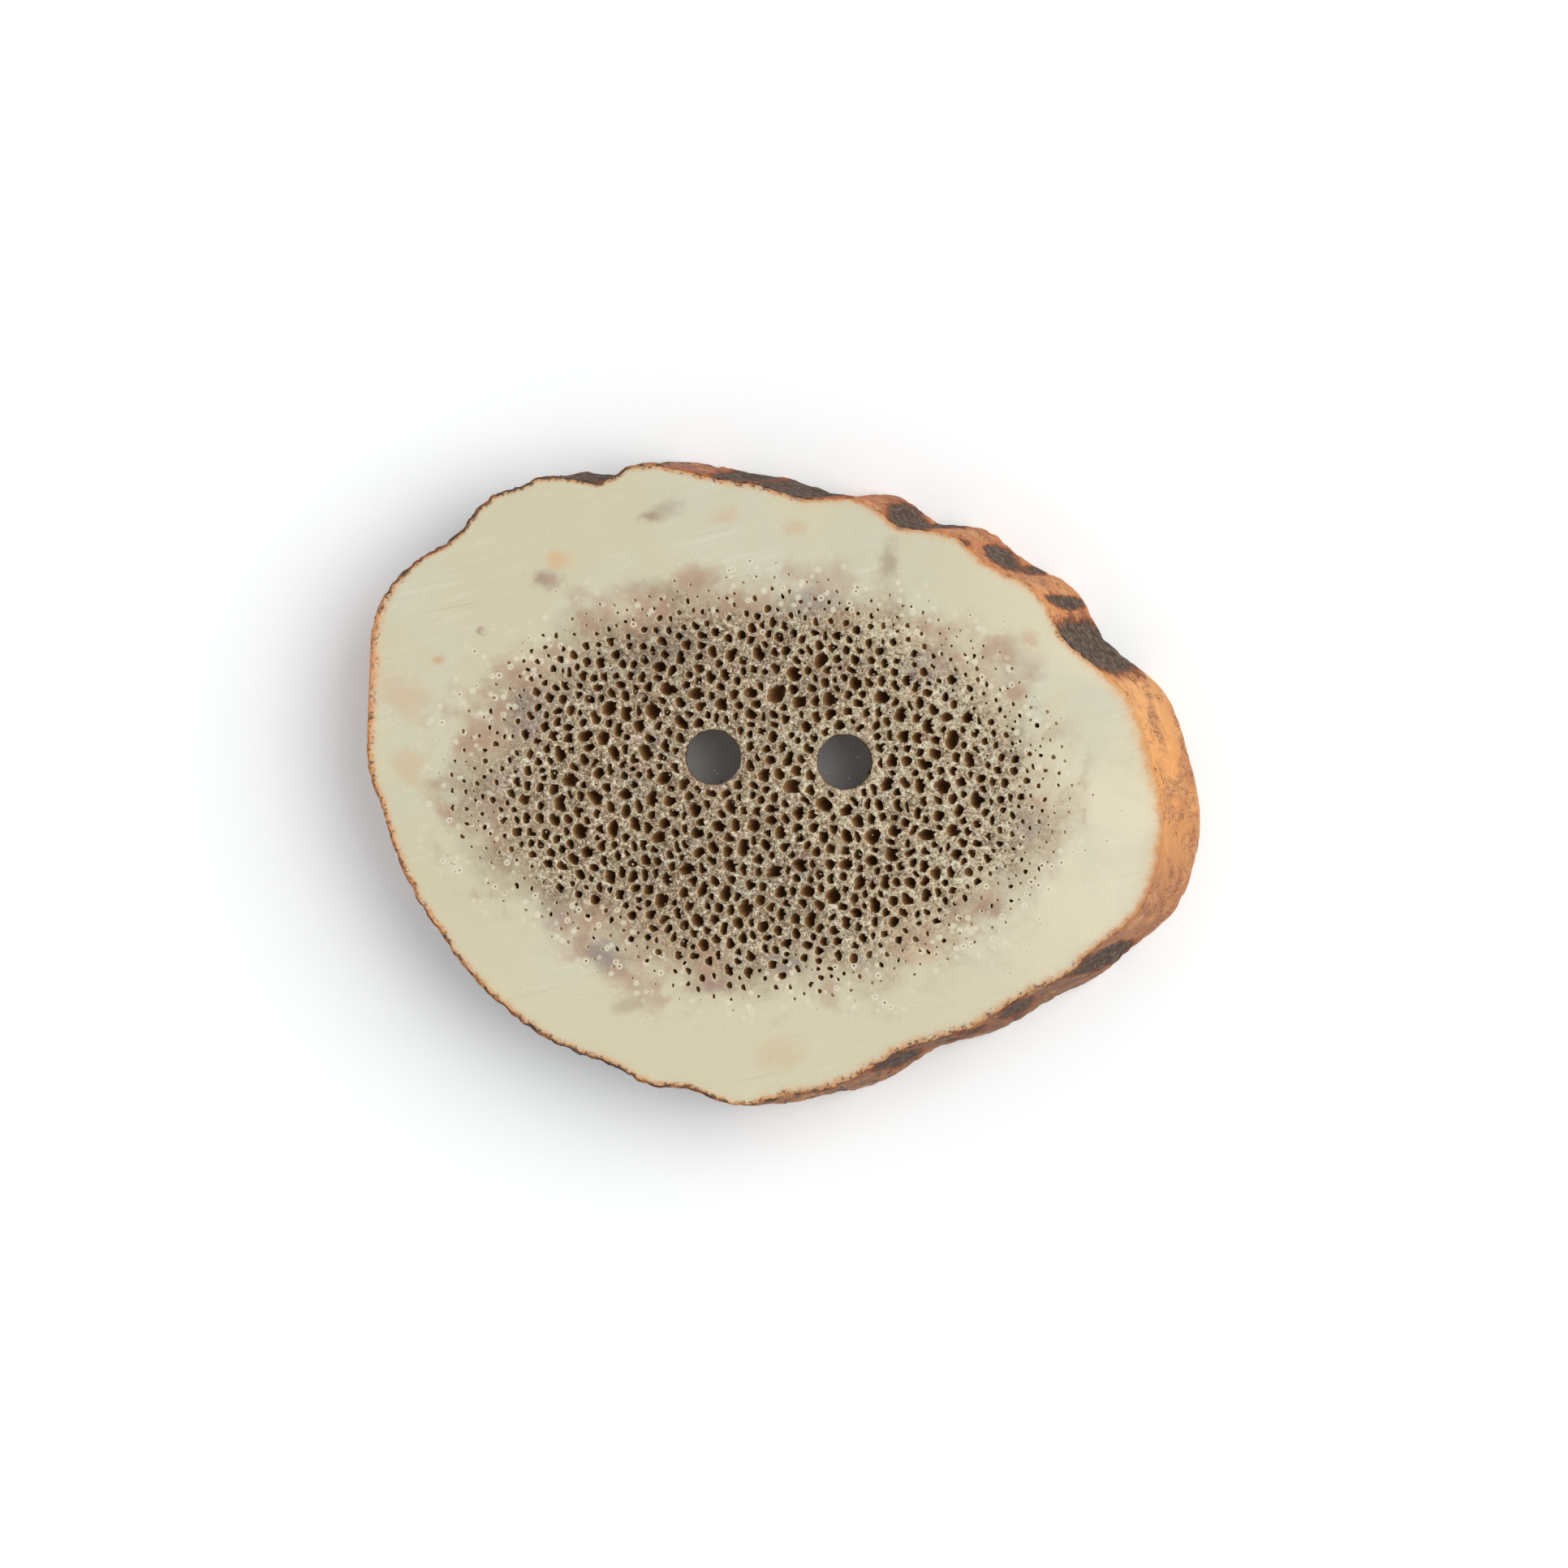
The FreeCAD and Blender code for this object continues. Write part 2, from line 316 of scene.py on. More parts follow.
@dataclass
class SolidSlice:
    """The plain solid of the frame, read in millimetres.

    Attributes:
        node: the solid's object
        bores: middle and radius of each thread hole, from the record's mounts
        weld: corners nearer than this are one
        level: how nearly a face of the mesh must look along Z to be part of a sawn face
    """

    node: bpy.types.Object
    bores: list[tuple[np.ndarray, float]]
    weld: float = 0.002
    level: float = 0.999

    def __post_init__(self) -> None:
        """Read the mesh, its outlines and its slant."""
        self.mesh = bmesh.new()
        self.mesh.from_mesh(self.node.data)
        bmesh.ops.scale(self.mesh, vec=Vector((1, 1, 1)) / MM, verts=self.mesh.verts)
        bmesh.ops.remove_doubles(self.mesh, verts=self.mesh.verts, dist=self.weld)
        self.mesh.normal_update()
        self.mesh.verts.index_update()
        self.tree = BVHTree.FromBMesh(self.mesh)
        self.thickness = max(vert.co.z for vert in self.mesh.verts)
        self.outlines = {side: self._outlines(side) for side in Side}
        centres = [self._centre(self.rim(side)) for side in (Side.FRONT, Side.BACK)]
        self.slant = centres[1] - centres[0]

    def height(self, side: Side) -> float:
        """Height of a sawn face."""
        return self.thickness if side is Side.FRONT else 0.0

    def rim(self, side: Side) -> np.ndarray:
        """Outline of a sawn face, which is its longest one."""
        return max(self.outlines[side], key=len_round)

    def pores(self, side: Side) -> list[np.ndarray]:
        """Outlines of the pores in a sawn face."""
        rim = self.rim(side)
        found = []
        for outline in self.outlines[side]:
            middle = outline.mean(axis=0)
            bored = any(np.hypot(*(middle - place)) < radius / 2 for place, radius in self.bores)
            if outline is not rim and not bored:
                found.append(outline)
        return found

    def core(self, side: Side) -> tuple[np.ndarray, np.ndarray]:
        """Middle and half widths of the spongy core, from the pores of a sawn face."""
        middles = np.array([outline.mean(axis=0) for outline in self.pores(side)])
        low, high = middles.min(axis=0), middles.max(axis=0)
        return (low + high) / 2, (high - low) / 2

    def middle(self, height: float) -> Vector:
        """Point on the antler's own axis at a height."""
        share = 1 - height / self.thickness
        return Vector((self.slant[0] * share, self.slant[1] * share, height))

    def bark_reach(self, turn: float, height: float) -> float:
        """How far the bark is from the antler's axis.

        Args:
            turn: direction, in radians
            height: height above the back face

        Returns:
            The distance in mm.
        """
        far = 60.0
        way = Vector((math.cos(turn), math.sin(turn), 0))
        middle = self.middle(height)
        hit = self.tree.ray_cast(middle + way * far, -way)[0]
        return (hit - middle).length

    def _outlines(self, side: Side) -> list[np.ndarray]:
        """Closed outlines of a sawn face, each an array of corners in order."""
        height = self.height(side)
        flat = {
            face.index for face in self.mesh.faces
            if face.normal.z * side.value > self.level
            and all(abs(vert.co.z - height) < self.weld for vert in face.verts)
        }
        links: dict[int, list[int]] = {}
        places: dict[int, tuple[float, float]] = {}
        for edge in self.mesh.edges:
            if sum(face.index in flat for face in edge.link_faces) != 1:
                continue
            for vert, other in (edge.verts, reversed(edge.verts)):
                links.setdefault(vert.index, []).append(other.index)
                places[vert.index] = vert.co.xy[:]
        outlines = []
        seen: set[int] = set()
        for start in links:
            if start in seen:
                continue
            here, corners = start, []
            while here is not None:
                seen.add(here)
                corners.append(places[here])
                here = next((ahead for ahead in links[here] if ahead not in seen), None)
            outlines.append(np.array(corners))
        return outlines

    @staticmethod
    def _centre(outline: np.ndarray) -> np.ndarray:
        """Centre of the area inside an outline."""
        ahead = np.roll(outline, -1, axis=0)
        cross = outline[:, 0] * ahead[:, 1] - ahead[:, 0] * outline[:, 1]
        return ((outline + ahead) * cross[:, None]).sum(axis=0) / (3 * cross.sum())


def len_round(outline: np.ndarray) -> float:
    """Distance round a closed outline."""
    return float(np.hypot(*(np.roll(outline, -1, axis=0) - outline).T).sum())


@dataclass
class Ground:
    """Points on a face, kept in square cells so that the near ones are found fast.

    Attributes:
        cell: width of a cell, in mm
        points: the points in each cell
    """

    cell: float = 0.5
    points: dict[tuple[int, int], list[tuple[float, float]]] = field(default_factory=dict)

    def add(self, across: float, up: float) -> None:
        """Keep a point."""
        key = (int(across // self.cell), int(up // self.cell))
        self.points.setdefault(key, []).append((across, up))

    def near(self, middle: np.ndarray, margin: float) -> np.ndarray:
        """Points near a place, seen from it."""
        low = ((middle - margin) // self.cell).astype(int)
        high = ((middle + margin) // self.cell).astype(int)
        found = [
            point for column in range(low[0], high[0] + 1) for row in range(low[1], high[1] + 1)
            for point in self.points.get((column, row), ())
        ]
        return np.array(found).reshape(-1, 2) - middle

    def crowds(self, middle: np.ndarray, apart: float) -> bool:
        """Whether a point is nearer to a place than it should be."""
        near = self.near(middle, apart)
        return bool(len(near)) and float(np.hypot(*near.T).min()) < apart


@dataclass
class PoreField:
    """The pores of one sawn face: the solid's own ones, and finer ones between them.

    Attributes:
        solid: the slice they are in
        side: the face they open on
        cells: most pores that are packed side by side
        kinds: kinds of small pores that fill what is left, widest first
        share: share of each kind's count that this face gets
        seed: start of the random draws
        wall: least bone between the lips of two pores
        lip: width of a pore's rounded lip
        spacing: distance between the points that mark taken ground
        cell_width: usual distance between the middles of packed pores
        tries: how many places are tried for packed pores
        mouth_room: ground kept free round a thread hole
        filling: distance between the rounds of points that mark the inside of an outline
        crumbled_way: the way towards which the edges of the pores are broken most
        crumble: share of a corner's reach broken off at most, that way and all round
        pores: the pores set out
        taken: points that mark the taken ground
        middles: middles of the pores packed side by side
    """

    solid: SolidSlice
    side: Side
    cells: int
    kinds: tuple[PoreKind, ...]
    share: float
    seed: int
    wall: float = 0.04
    lip: float = 0.024
    spacing: float = 0.055
    cell_width: float = 0.54
    tries: int = 16000
    mouth_room: float = 0.13
    filling: float = 0.16
    crumbled_way: tuple[float, float] = (0.94, 0.34)
    crumble: tuple[float, float] = (0.5, 0.24)
    pores: list[Pore] = field(default_factory=list)
    taken: Ground = field(default_factory=Ground)
    middles: Ground = field(default_factory=Ground)

    def __post_init__(self) -> None:
        """Set out the pores."""
        self.draw = random.Random(self.seed)
        self.core_middle, self.core_half = self.solid.core(self.side)
        for place, radius in self.solid.bores:
            mouth = radius + self.mouth_room
            self._take(place, np.array([
                place + mouth * np.array((math.cos(turn), math.sin(turn)))
                for turn in np.linspace(0, 2 * math.pi, 120, endpoint=False)
            ]))
        for outline in self.solid.pores(self.side):
            self._open_wide(outline)
        self._pack_cells()
        for kind in self.kinds:
            self._fill(kind)

    def _throw(self, spread: float) -> tuple[np.ndarray, float]:
        """Random place in the core, and how far out in the core it counts."""
        turn = self.draw.uniform(0, 2 * math.pi)
        share = spread * math.sqrt(self.draw.random())
        middle = self.core_middle + share * self.core_half * np.array(
            (math.cos(turn), math.sin(turn)))
        drift = noise.noise(Vector((middle[0] * 0.22, middle[1] * 0.22, self.seed)))
        return middle, share + 0.2 * drift

    def _take(self, middle: np.ndarray, outline: np.ndarray) -> None:
        """Mark the ground inside an outline as taken."""
        ahead = np.roll(outline, -1, axis=0)
        points = []
        for start, end in zip(outline, ahead):
            steps = max(1, int(np.hypot(*(end - start)) / self.spacing))
            for step in range(steps):
                points.append(start + (end - start) * step / steps)
        edge = np.array(points)
        rounds = max(1, int(np.hypot(*(edge - middle).T).max() / self.filling))
        for inner in range(rounds):
            points.extend(middle + (edge[::2] - middle) * inner / rounds)
        for across, up in points:
            self.taken.add(across, up)

    def _free(self, middle: np.ndarray, turns: np.ndarray, wanted: np.ndarray,
              wall: float) -> np.ndarray:
        """How far an outline may reach each way before it comes too near another one.

        Args:
            middle: its middle
            turns: direction of each corner, in order
            wanted: reach of each corner, if it is free
            wall: bone to leave

        Returns:
            The reach of each corner, such that no side between two corners crosses the wall.
        """
        offset = self.taken.near(middle, wanted.max() + wall + self.spacing)
        if not len(offset):
            return wanted
        step = (np.roll(turns, -1) - turns) % (2 * math.pi)
        between = (turns[:, None] + step[:, None] * np.array((0.0, 0.25, 0.5, 0.75))).ravel()
        ways = np.stack((np.cos(between), np.sin(between)), axis=1)
        along = offset @ ways.T
        beside = (offset ** 2).sum(axis=1)[:, None] - along ** 2
        stop = along - np.sqrt(np.maximum(wall ** 2 - beside, 0))
        stop[(beside >= wall ** 2) | (along <= 0)] = np.inf
        sector = stop.min(axis=0).reshape(len(turns), -1)
        before = np.roll(sector[:, 1:].min(axis=1), 1)
        return np.minimum(wanted, np.minimum(sector.min(axis=1), before))

    def _settle(self, middle: np.ndarray, turns: np.ndarray, wanted: np.ndarray,
                wall: float, least: float, depth: float, rings: int, lip: float) -> bool:
        """Fit one pore into the free ground.

        Args:
            middle: its middle
            turns: direction of each corner
            wanted: reach of each corner, if it is free
            wall: bone to leave between it and its neighbours
            least: least mean reach worth keeping
            depth: how deep it goes
            rings: rings of faces that line it
            lip: width of its lip

        Returns:
            Whether it found room.
        """
        ways = np.stack((np.cos(turns), np.sin(turns)), axis=1)
        reach = self._free(middle, turns, wanted, wall)
        if reach.min() < 0.45 * least or reach.mean() < least:
            return False
        even = (np.roll(reach, 1) + 2 * reach + np.roll(reach, -1)) / 4
        reach = np.minimum(reach, even)
        crumbled = np.clip(ways @ np.array(self.crumbled_way), 0, 1)
        one_way, all_round = self.crumble
        nibble = np.array([self.draw.random() ** 2 for _ in turns])
        reach = reach * (1 - one_way * nibble * crumbled - all_round * nibble[::-1])
        outline = middle + ways * reach[:, None]
        sway = np.array((self.draw.uniform(-1, 1), self.draw.uniform(-1, 1)))
        lean = self.solid.slant / self.solid.thickness * depth * self.side.value
        lip = min(lip, 0.35 * float(reach.min()))
        self.pores.append(
            Pore(middle, outline, lip, depth, rings, lean + sway * 0.15 * reach.mean()))
        self._take(middle, outline)
        return True

    def _open_wide(self, outline: np.ndarray) -> None:
        """Round and fray one of the solid's own pores."""
        middle = outline.mean(axis=0)
        reach = np.hypot(*(outline - middle).T).mean()
        for _ in range(2 if reach > 0.3 else 1):
            ahead = np.roll(outline, -1, axis=0)
            outline = np.stack(
                (0.75 * outline + 0.25 * ahead, 0.25 * outline + 0.75 * ahead), axis=1,
            ).reshape(-1, 2)
        offset = outline - middle
        turns = np.arctan2(offset[:, 1], offset[:, 0])
        order = np.argsort(turns)
        wanted = np.hypot(*offset.T)[order] * self.draw.uniform(0.95, 1.25) + self.lip
        depth = self.draw.uniform(0.9, 1.3) if self.side is Side.FRONT else 0.95
        share = float(np.hypot(*((middle - self.core_middle) / self.core_half)))
        wanted *= 1.1 - 0.4 * smooth_step(0.72, 1.0, share)
        self._settle(middle, turns[order], wanted, self.wall, 0.08, depth, 3, self.lip)

    def _pack_cells(self) -> None:
        """Pack pores side by side between the wide ones, like a honeycomb.

        Each one reaches half way to its neighbours, less the bone between them.
        """
        places: list[tuple[np.ndarray, float]] = []
        for _ in range(self.tries):
            middle, outward = self._throw(1.12)
            apart = self.cell_width * self.draw.uniform(0.85, 1.15)
            if self.draw.random() < smooth_step(0.85, 1.25, outward):
                continue
            if self.taken.crowds(middle, 0.17) or self.middles.crowds(middle, apart):
                continue
            self.middles.add(*middle)
            places.append((middle, outward))
            if len(places) == self.cells:
                break
        for middle, outward in places:
            eastward = max(0.0, (middle[0] - self.core_middle[0]) / self.core_half[0])
            inner = smooth_step(1.12, 0.84 - 0.24 * eastward, outward)
            wall = self.wall + 0.14 * (1 - inner)
            sides = 11 if inner > 0.6 else 7
            turns = self._around(sides)
            ways = np.stack((np.cos(turns), np.sin(turns)), axis=1)
            gap = self.middles.near(middle, 3 * self.cell_width)
            far = np.hypot(*gap.T)
            gap, far = gap[far > 0.01], far[far > 0.01]
            along = ways @ (gap / far[:, None]).T
            half = np.where(along > 0.05, (far - wall) / 2 / np.maximum(along, 0.05), np.inf)
            size = (0.13 + 0.27 * inner) * self.draw.uniform(0.8, 1.3)
            wanted = np.minimum(half.min(axis=1), self._oval(size, turns))
            wanted *= np.array([self.draw.uniform(0.92, 1.04) for _ in turns])
            depth = (0.1 + 0.8 * inner) * self.draw.uniform(0.7, 1.15)
            self._settle(middle, turns, wanted, wall, 0.07, depth, 3 if inner > 0.3 else 2,
                         self.lip * (2.0 - inner))

    def _around(self, sides: int) -> np.ndarray:
        """Uneven directions of an outline's corners, in order."""
        start = self.draw.uniform(0, 2 * math.pi)
        return np.array([
            start + 2 * math.pi * (corner + self.draw.uniform(-0.2, 0.2)) / sides
            for corner in range(sides)
        ])

    def _oval(self, size: float, turns: np.ndarray) -> np.ndarray:
        """Reach of a lopsided oval in each direction."""
        lie = self.draw.uniform(0, math.pi)
        slim = self.draw.uniform(0.6, 1.0)
        reach = size * (slim + (1 - slim) * np.cos(turns - lie) ** 2)
        return reach * (1 + 0.1 * np.cos(3 * turns + self.draw.uniform(0, 6)))

    def _fill(self, kind: PoreKind) -> None:
        """Throw pores of one kind into the free ground until there are enough."""
        wanted_count = len(self.pores) + int(kind.count * self.share)
        for _ in range(kind.count * 14):
            if len(self.pores) >= wanted_count:
                break
            middle, outward = self._throw(kind.spread)
            if self.draw.random() < smooth_step(0.85, 1.3, outward):
                continue
            wall = self.wall + 0.15 * smooth_step(0.75, 1.15, outward)
            turns = self._around(kind.sides)
            wanted = self._oval(self.draw.uniform(kind.narrowest, kind.widest), turns)
            lip = self.lip * (1 + smooth_step(0.7, 1.0, outward))
            self._settle(middle, turns, wanted, wall, 0.8 * kind.narrowest,
                         kind.depth * self.draw.uniform(0.7, 1.0), kind.rings, lip)


@dataclass
class AntlerSlice:
    """The dressed slice: bark, sawn faces, thread holes and pores in one closed mesh.

    Attributes:
        solid: the plain slice that it stands for
        rim_steps: corners round the bark
        mean_reach: usual distance from the antler's axis to the bark
        bark_rows: rows of faces down the straight part of the bark
        bark_margin: nearer to a sawn face than this, the bark follows the solid at this depth
        edge_rows: rows of faces round each rounded edge
        edge_break: radius of the rounded edge, least and most
        face_rings: how far inside the edge each ring of the front face lies
        back_rings: the same for the back face
        bore_steps: corners round a thread hole
        bore_rows: rows of faces down a thread hole
        mouth_rub: how far the mouth of a thread hole is rubbed out unevenly at most
        bore_rub: the same for its wall
        wall_wear: how far the bone between two pores is broken away at most
        swell: how far the coarsest bark stands out, so that its furrows lie half in, half out
        keep_in: least distance to the sides of the solid's own box
        pore_kinds: kinds of small pores, widest first
        face_pores: each face with its packed pores at most, share of small pores and seed
    """

    solid: SolidSlice
    rim_steps: int = 840
    mean_reach: float = 16.0
    bark_rows: int = 14
    bark_margin: float = 0.21
    edge_rows: int = 3
    edge_break: tuple[float, float] = (0.07, 0.14)
    face_rings: tuple[float, ...] = (0.10, 0.28, 0.55, 1.0)
    back_rings: tuple[float, ...] = (0.15, 0.5)
    bore_steps: int = 96
    bore_rows: int = 10
    mouth_rub: float = 0.13
    bore_rub: float = 0.04
    wall_wear: float = 0.15
    swell: float = 0.17
    keep_in: float = 0.01
    pore_kinds: tuple[PoreKind, ...] = (
        PoreKind(0.08, 0.13, 6, 240, 1.1, 0.22, 2),
        PoreKind(0.05, 0.08, 5, 150, 1.2, 0.09, 2),
    )
    face_pores: tuple[tuple[Side, int, float, int], ...] = (
        (Side.FRONT, 1100, 1.0, 5),
        (Side.BACK, 260, 0.2, 9),
    )

    @property
    def rows(self) -> int:
        """Rows of faces from the front edge of the bark to the back edge."""
        return 2 * self.edge_rows + self.bark_rows

    def build(self) -> bpy.types.Object:
        """Make the mesh and its object.

        Returns:
            The object, in metres, with its material slots still empty.
        """
        self.mesh = bmesh.new()
        verts = self.mesh.verts.layers
        self.fringe = verts.float.new("fringe")
        self.lip = verts.float.new("lip")
        self.patch = verts.float.new("patch")
        self.hollow = verts.float.new("hollow")
        self.crust = verts.float.new("crust")
        self.bark_tone = verts.float_color.new("bark_tone")
        self.number = verts.int.new("number")
        self.corner = verts.int.new("corner")

        edges = self._grow_bark()
        edges = {side: self._ring_face(side, edges[side]) for side in Side}
        for side, mouths in self._bore_holes().items():
            edges[side] += mouths
        for side, cells, share, seed in self.face_pores:
            pores = PoreField(self.solid, side, cells, self.pore_kinds, share, seed)
            mouths = self._sink_pores(side, pores.pores)
            edges[side] += mouths
            LOG.info("%s face: %d pores", side.name.lower(), len(pores.pores))
            made = bmesh.ops.triangle_fill(
                self.mesh, use_beauty=True, use_dissolve=False, edges=edges[side],
                normal=(0, 0, side.value))
            for face in self._kept(made["geom"], bmesh.types.BMFace):
                face.material_index = Slot.SAWN.value
            self._wear_walls(side, mouths)
        return self._finish()

    def _wear_walls(self, side: Side, mouths: list[Edge]) -> None:
        """Break the thin walls between the pores away unevenly, most in the middle.

        Args:
            side: the face
            mouths: outer edges of its pores
        """
        draw = random.Random(len(mouths))
        core_middle, core_half = self.solid.core(side)
        for edge in mouths:
            vert = edge.verts[0]
            share = float(np.hypot(*((np.array(vert.co.xy) - core_middle) / core_half)))
            deepest = self.wall_wear * smooth_step(1.0, 0.7, share)
            vert.co.z -= side.value * deepest * draw.random() ** 2

    def _finish(self) -> bpy.types.Object:
        """Turn the mesh outwards, count its open edges, scale it and put it in an object."""
        mesh = self.mesh
        bmesh.ops.recalc_face_normals(mesh, faces=mesh.faces)
        open_edges = sum(not edge.is_manifold for edge in mesh.edges)
        for face in mesh.faces:
            face.smooth = not (
                face.material_index == Slot.SAWN.value and abs(face.normal.z) > self.solid.level)
        bmesh.ops.triangulate(mesh, faces=[face for face in mesh.faces if len(face.verts) > 4])
        triangles = sum(len(face.verts) - 2 for face in mesh.faces)
        volume = mesh.calc_volume()
        for layer in (self.number, self.corner):
            mesh.verts.layers.int.remove(layer)
        bmesh.ops.scale(mesh, vec=Vector((MM, MM, MM)), verts=mesh.verts)
        data = bpy.data.meshes.new(PIECE)
        mesh.to_mesh(data)
        mesh.free()
        piece = bpy.data.objects.new(PIECE, data)
        bpy.context.scene.collection.objects.link(piece)
        LOG.info("%s: %d triangles, %d open edges, %.0f mm3", PIECE, triangles, open_edges, volume)
        return piece

    @staticmethod
    def _kept(items: list, kind: type) -> list:
        """The items of one kind among what an operator made."""
        return [item for item in items if isinstance(item, kind)]

    def _extrude(self, edges: list[Edge], slot: Slot) -> tuple[list[Vert], list[Edge]]:
        """Extrude edges in place.

        Args:
            edges: the edges
            slot: material of the new faces

        Returns:
            The new corners, and the new edges that copy the given ones.
        """
        made = bmesh.ops.extrude_edge_only(self.mesh, edges=edges)["geom"]
        verts = self._kept(made, Vert)
        fresh = set(verts)
        copies = [edge for edge in self._kept(made, Edge) if all(v in fresh for v in edge.verts)]
        for face in self._kept(made, bmesh.types.BMFace):
            face.material_index = slot.value
        return verts, copies

    def _ring(self, places: list[Vector]) -> list[Edge]:
        """Closed ring of new edges whose corners are numbered in order."""
        verts = [self.mesh.verts.new(place) for place in places]
        for corner, vert in enumerate(verts):
            vert[self.corner] = corner
        return [
            self.mesh.edges.new((vert, verts[corner - 1])) for corner, vert in enumerate(verts)
        ]

    def _round_bark(self, turn: float) -> tuple[Colour, float, float]:
        """Tone, glow width and roughness of the bark in a direction in degrees."""
        after = next((i for i, zone in enumerate(BARK_TONES) if zone.turn > turn % 360), 0)
        last, ahead = BARK_TONES[after - 1], BARK_TONES[after]
        share = smooth_step(0.0, (ahead.turn - last.turn) % 360, (turn - last.turn) % 360)
        colour = tuple(a + (b - a) * share for a, b in zip(last.colour, ahead.colour))
        return (colour, last.glow + (ahead.glow - last.glow) * share,
                last.rough + (ahead.rough - last.rough) * share)

    def _place_bark(self, vert: Vert, row: float) -> None:
        """Put one corner of the bark in place and note its tone.

        Args:
            vert: the corner, whose number gives its direction
            row: rows below the front face, out of all of them
        """
        solid = self.solid
        turn = 2 * math.pi * vert[self.corner] / self.rim_steps
        degrees = math.degrees(turn)
        colour, _, rough = self._round_bark(degrees)
        way = Vector((math.cos(turn), math.sin(turn), 0))
        least, most = self.edge_break
        wander = 0.5 + 0.5 * noise.noise(way * self.mean_reach * 0.8)
        bend = least + (most - least) * wander
        last = self.rows
        inset = 0.0
        if row <= self.edge_rows:
            lean = math.pi / 2 * (1 - row / self.edge_rows)
            height = solid.thickness - bend * (1 - math.sin(lean))
            inset = bend * (1 - math.cos(lean))
        elif row >= last - self.edge_rows:
            lean = math.pi / 2 * (1 - (last - row) / self.edge_rows)
            height = bend * (1 - math.sin(lean))
            inset = bend * (1 - math.cos(lean))
        else:
            share = (row - self.edge_rows) / self.bark_rows
            height = solid.thickness - bend - share * (solid.thickness - 2 * bend)
        sampled = min(max(height, self.bark_margin), solid.thickness - self.bark_margin)
        reach = solid.bark_reach(turn, sampled)

        along = Vector((way.x * reach, way.y * reach, height * 0.28))
        ridges = noise.fractal(along * 0.42, 1.0, 2.0, 3, noise_basis="PERLIN_ORIGINAL")
        beads = noise.noise(Vector((along.x * 1.5, along.y * 1.5, height * 0.8)))
        grit = noise.fractal(
            Vector((along.x * 2.3, along.y * 2.3, height * 1.9)), 1.0, 2.0, 2,
            noise_basis="PERLIN_ORIGINAL")
        dark, scoop = 0.0, 0.0
        for patch in BARK_PATCHES:
            round_it = turn_past(degrees, patch.turn)
            apart = abs(round_it) / patch.half_width
            above = (height - patch.height - patch.climb * round_it) / patch.half_height
            dark = max(dark, patch.strength * smooth_step(1.6, 0.3, math.hypot(apart, above)))
            scoop += patch.scoop * smooth_step(1.3, 0.2, apart)
        scoop *= smooth_step(0.35 * solid.thickness, 0.95 * solid.thickness, height)
        relief = rough * (0.11 * max(0.0, 0.35 + ridges) + 0.06 * (0.6 + beads))
        relief += (0.015 + 0.12 * rough) * max(0.0, 0.35 + grit) + scoop
        hollow = min(1.0, max(0.0, 0.5 + 0.7 * ridges + 0.35 * beads))
        out = reach - inset - relief + self.swell * rough
        place = solid.middle(sampled) + way * out
        across, up = np.clip(
            place.xy, CAD_LOW[:2] + self.keep_in, CAD_HIGH[:2] - self.keep_in)
        vert.co = Vector((across, up, height))
        vert[self.fringe] = 1.0
        vert[self.crust] = smooth_step(0.25, 1.0, rough)
        vert[self.patch] = dark
        vert[self.hollow] = hollow
        vert[self.bark_tone] = colour

    def _grow_bark(self) -> dict[Side, list[Edge]]:
        """Run the bark from the front edge down to the back edge.

        Returns:
            The edges where each sawn face begins.
        """
        last = self.rows
        start = self._ring([Vector((0, 0, 0)) for _ in range(self.rim_steps)])
        for edge in start:
            for vert in edge.verts:
                self._place_bark(vert, 0)
        edges = start
        for row in range(1, last + 1):
            verts, edges = self._extrude(edges, Slot.BARK)
            for vert in verts:
                self._place_bark(vert, row)
        LOG.info("bark: %d rows of %d", last, self.rim_steps)
        return {Side.FRONT: start, Side.BACK: edges}

    def _ring_face(self, side: Side, edges: list[Edge]) -> list[Edge]:
        """Ring the outer part of a sawn face, where the bark's warm tone seeps in.

        Args:
            side: the face
            edges: its outer edge

        Returns:
            The edges that bound what is left of the face.
        """
        rings = self.face_rings if side is Side.FRONT else self.back_rings
        middle = self.solid.middle(self.solid.height(side))
        reach = {
            vert[self.corner]: (vert.co - middle).length for edge in edges for vert in edge.verts
        }
        radii = np.array([reach[corner] for corner in range(self.rim_steps)])
        for inward in rings:
            width = max(1, int(inward * 5))
            around = sum(np.roll(radii, shift) for shift in range(-width, width + 1))
            smooth = np.minimum(around / (2 * width + 1), radii + 0.04)
            verts, edges = self._extrude(edges, Slot.SAWN)
            for vert in verts:
                corner = vert[self.corner]
                turn = 2 * math.pi * corner / self.rim_steps
                colour, glow, rough = self._round_bark(math.degrees(turn))
                way = Vector((math.cos(turn), math.sin(turn), 0))
                vert.co = middle + way * (smooth[corner] - inward)
                vert[self.fringe] = max(0.0, 1 - inward / glow)
                vert[self.crust] = smooth_step(0.25, 1.0, rough)
                vert[self.bark_tone] = colour
        return edges

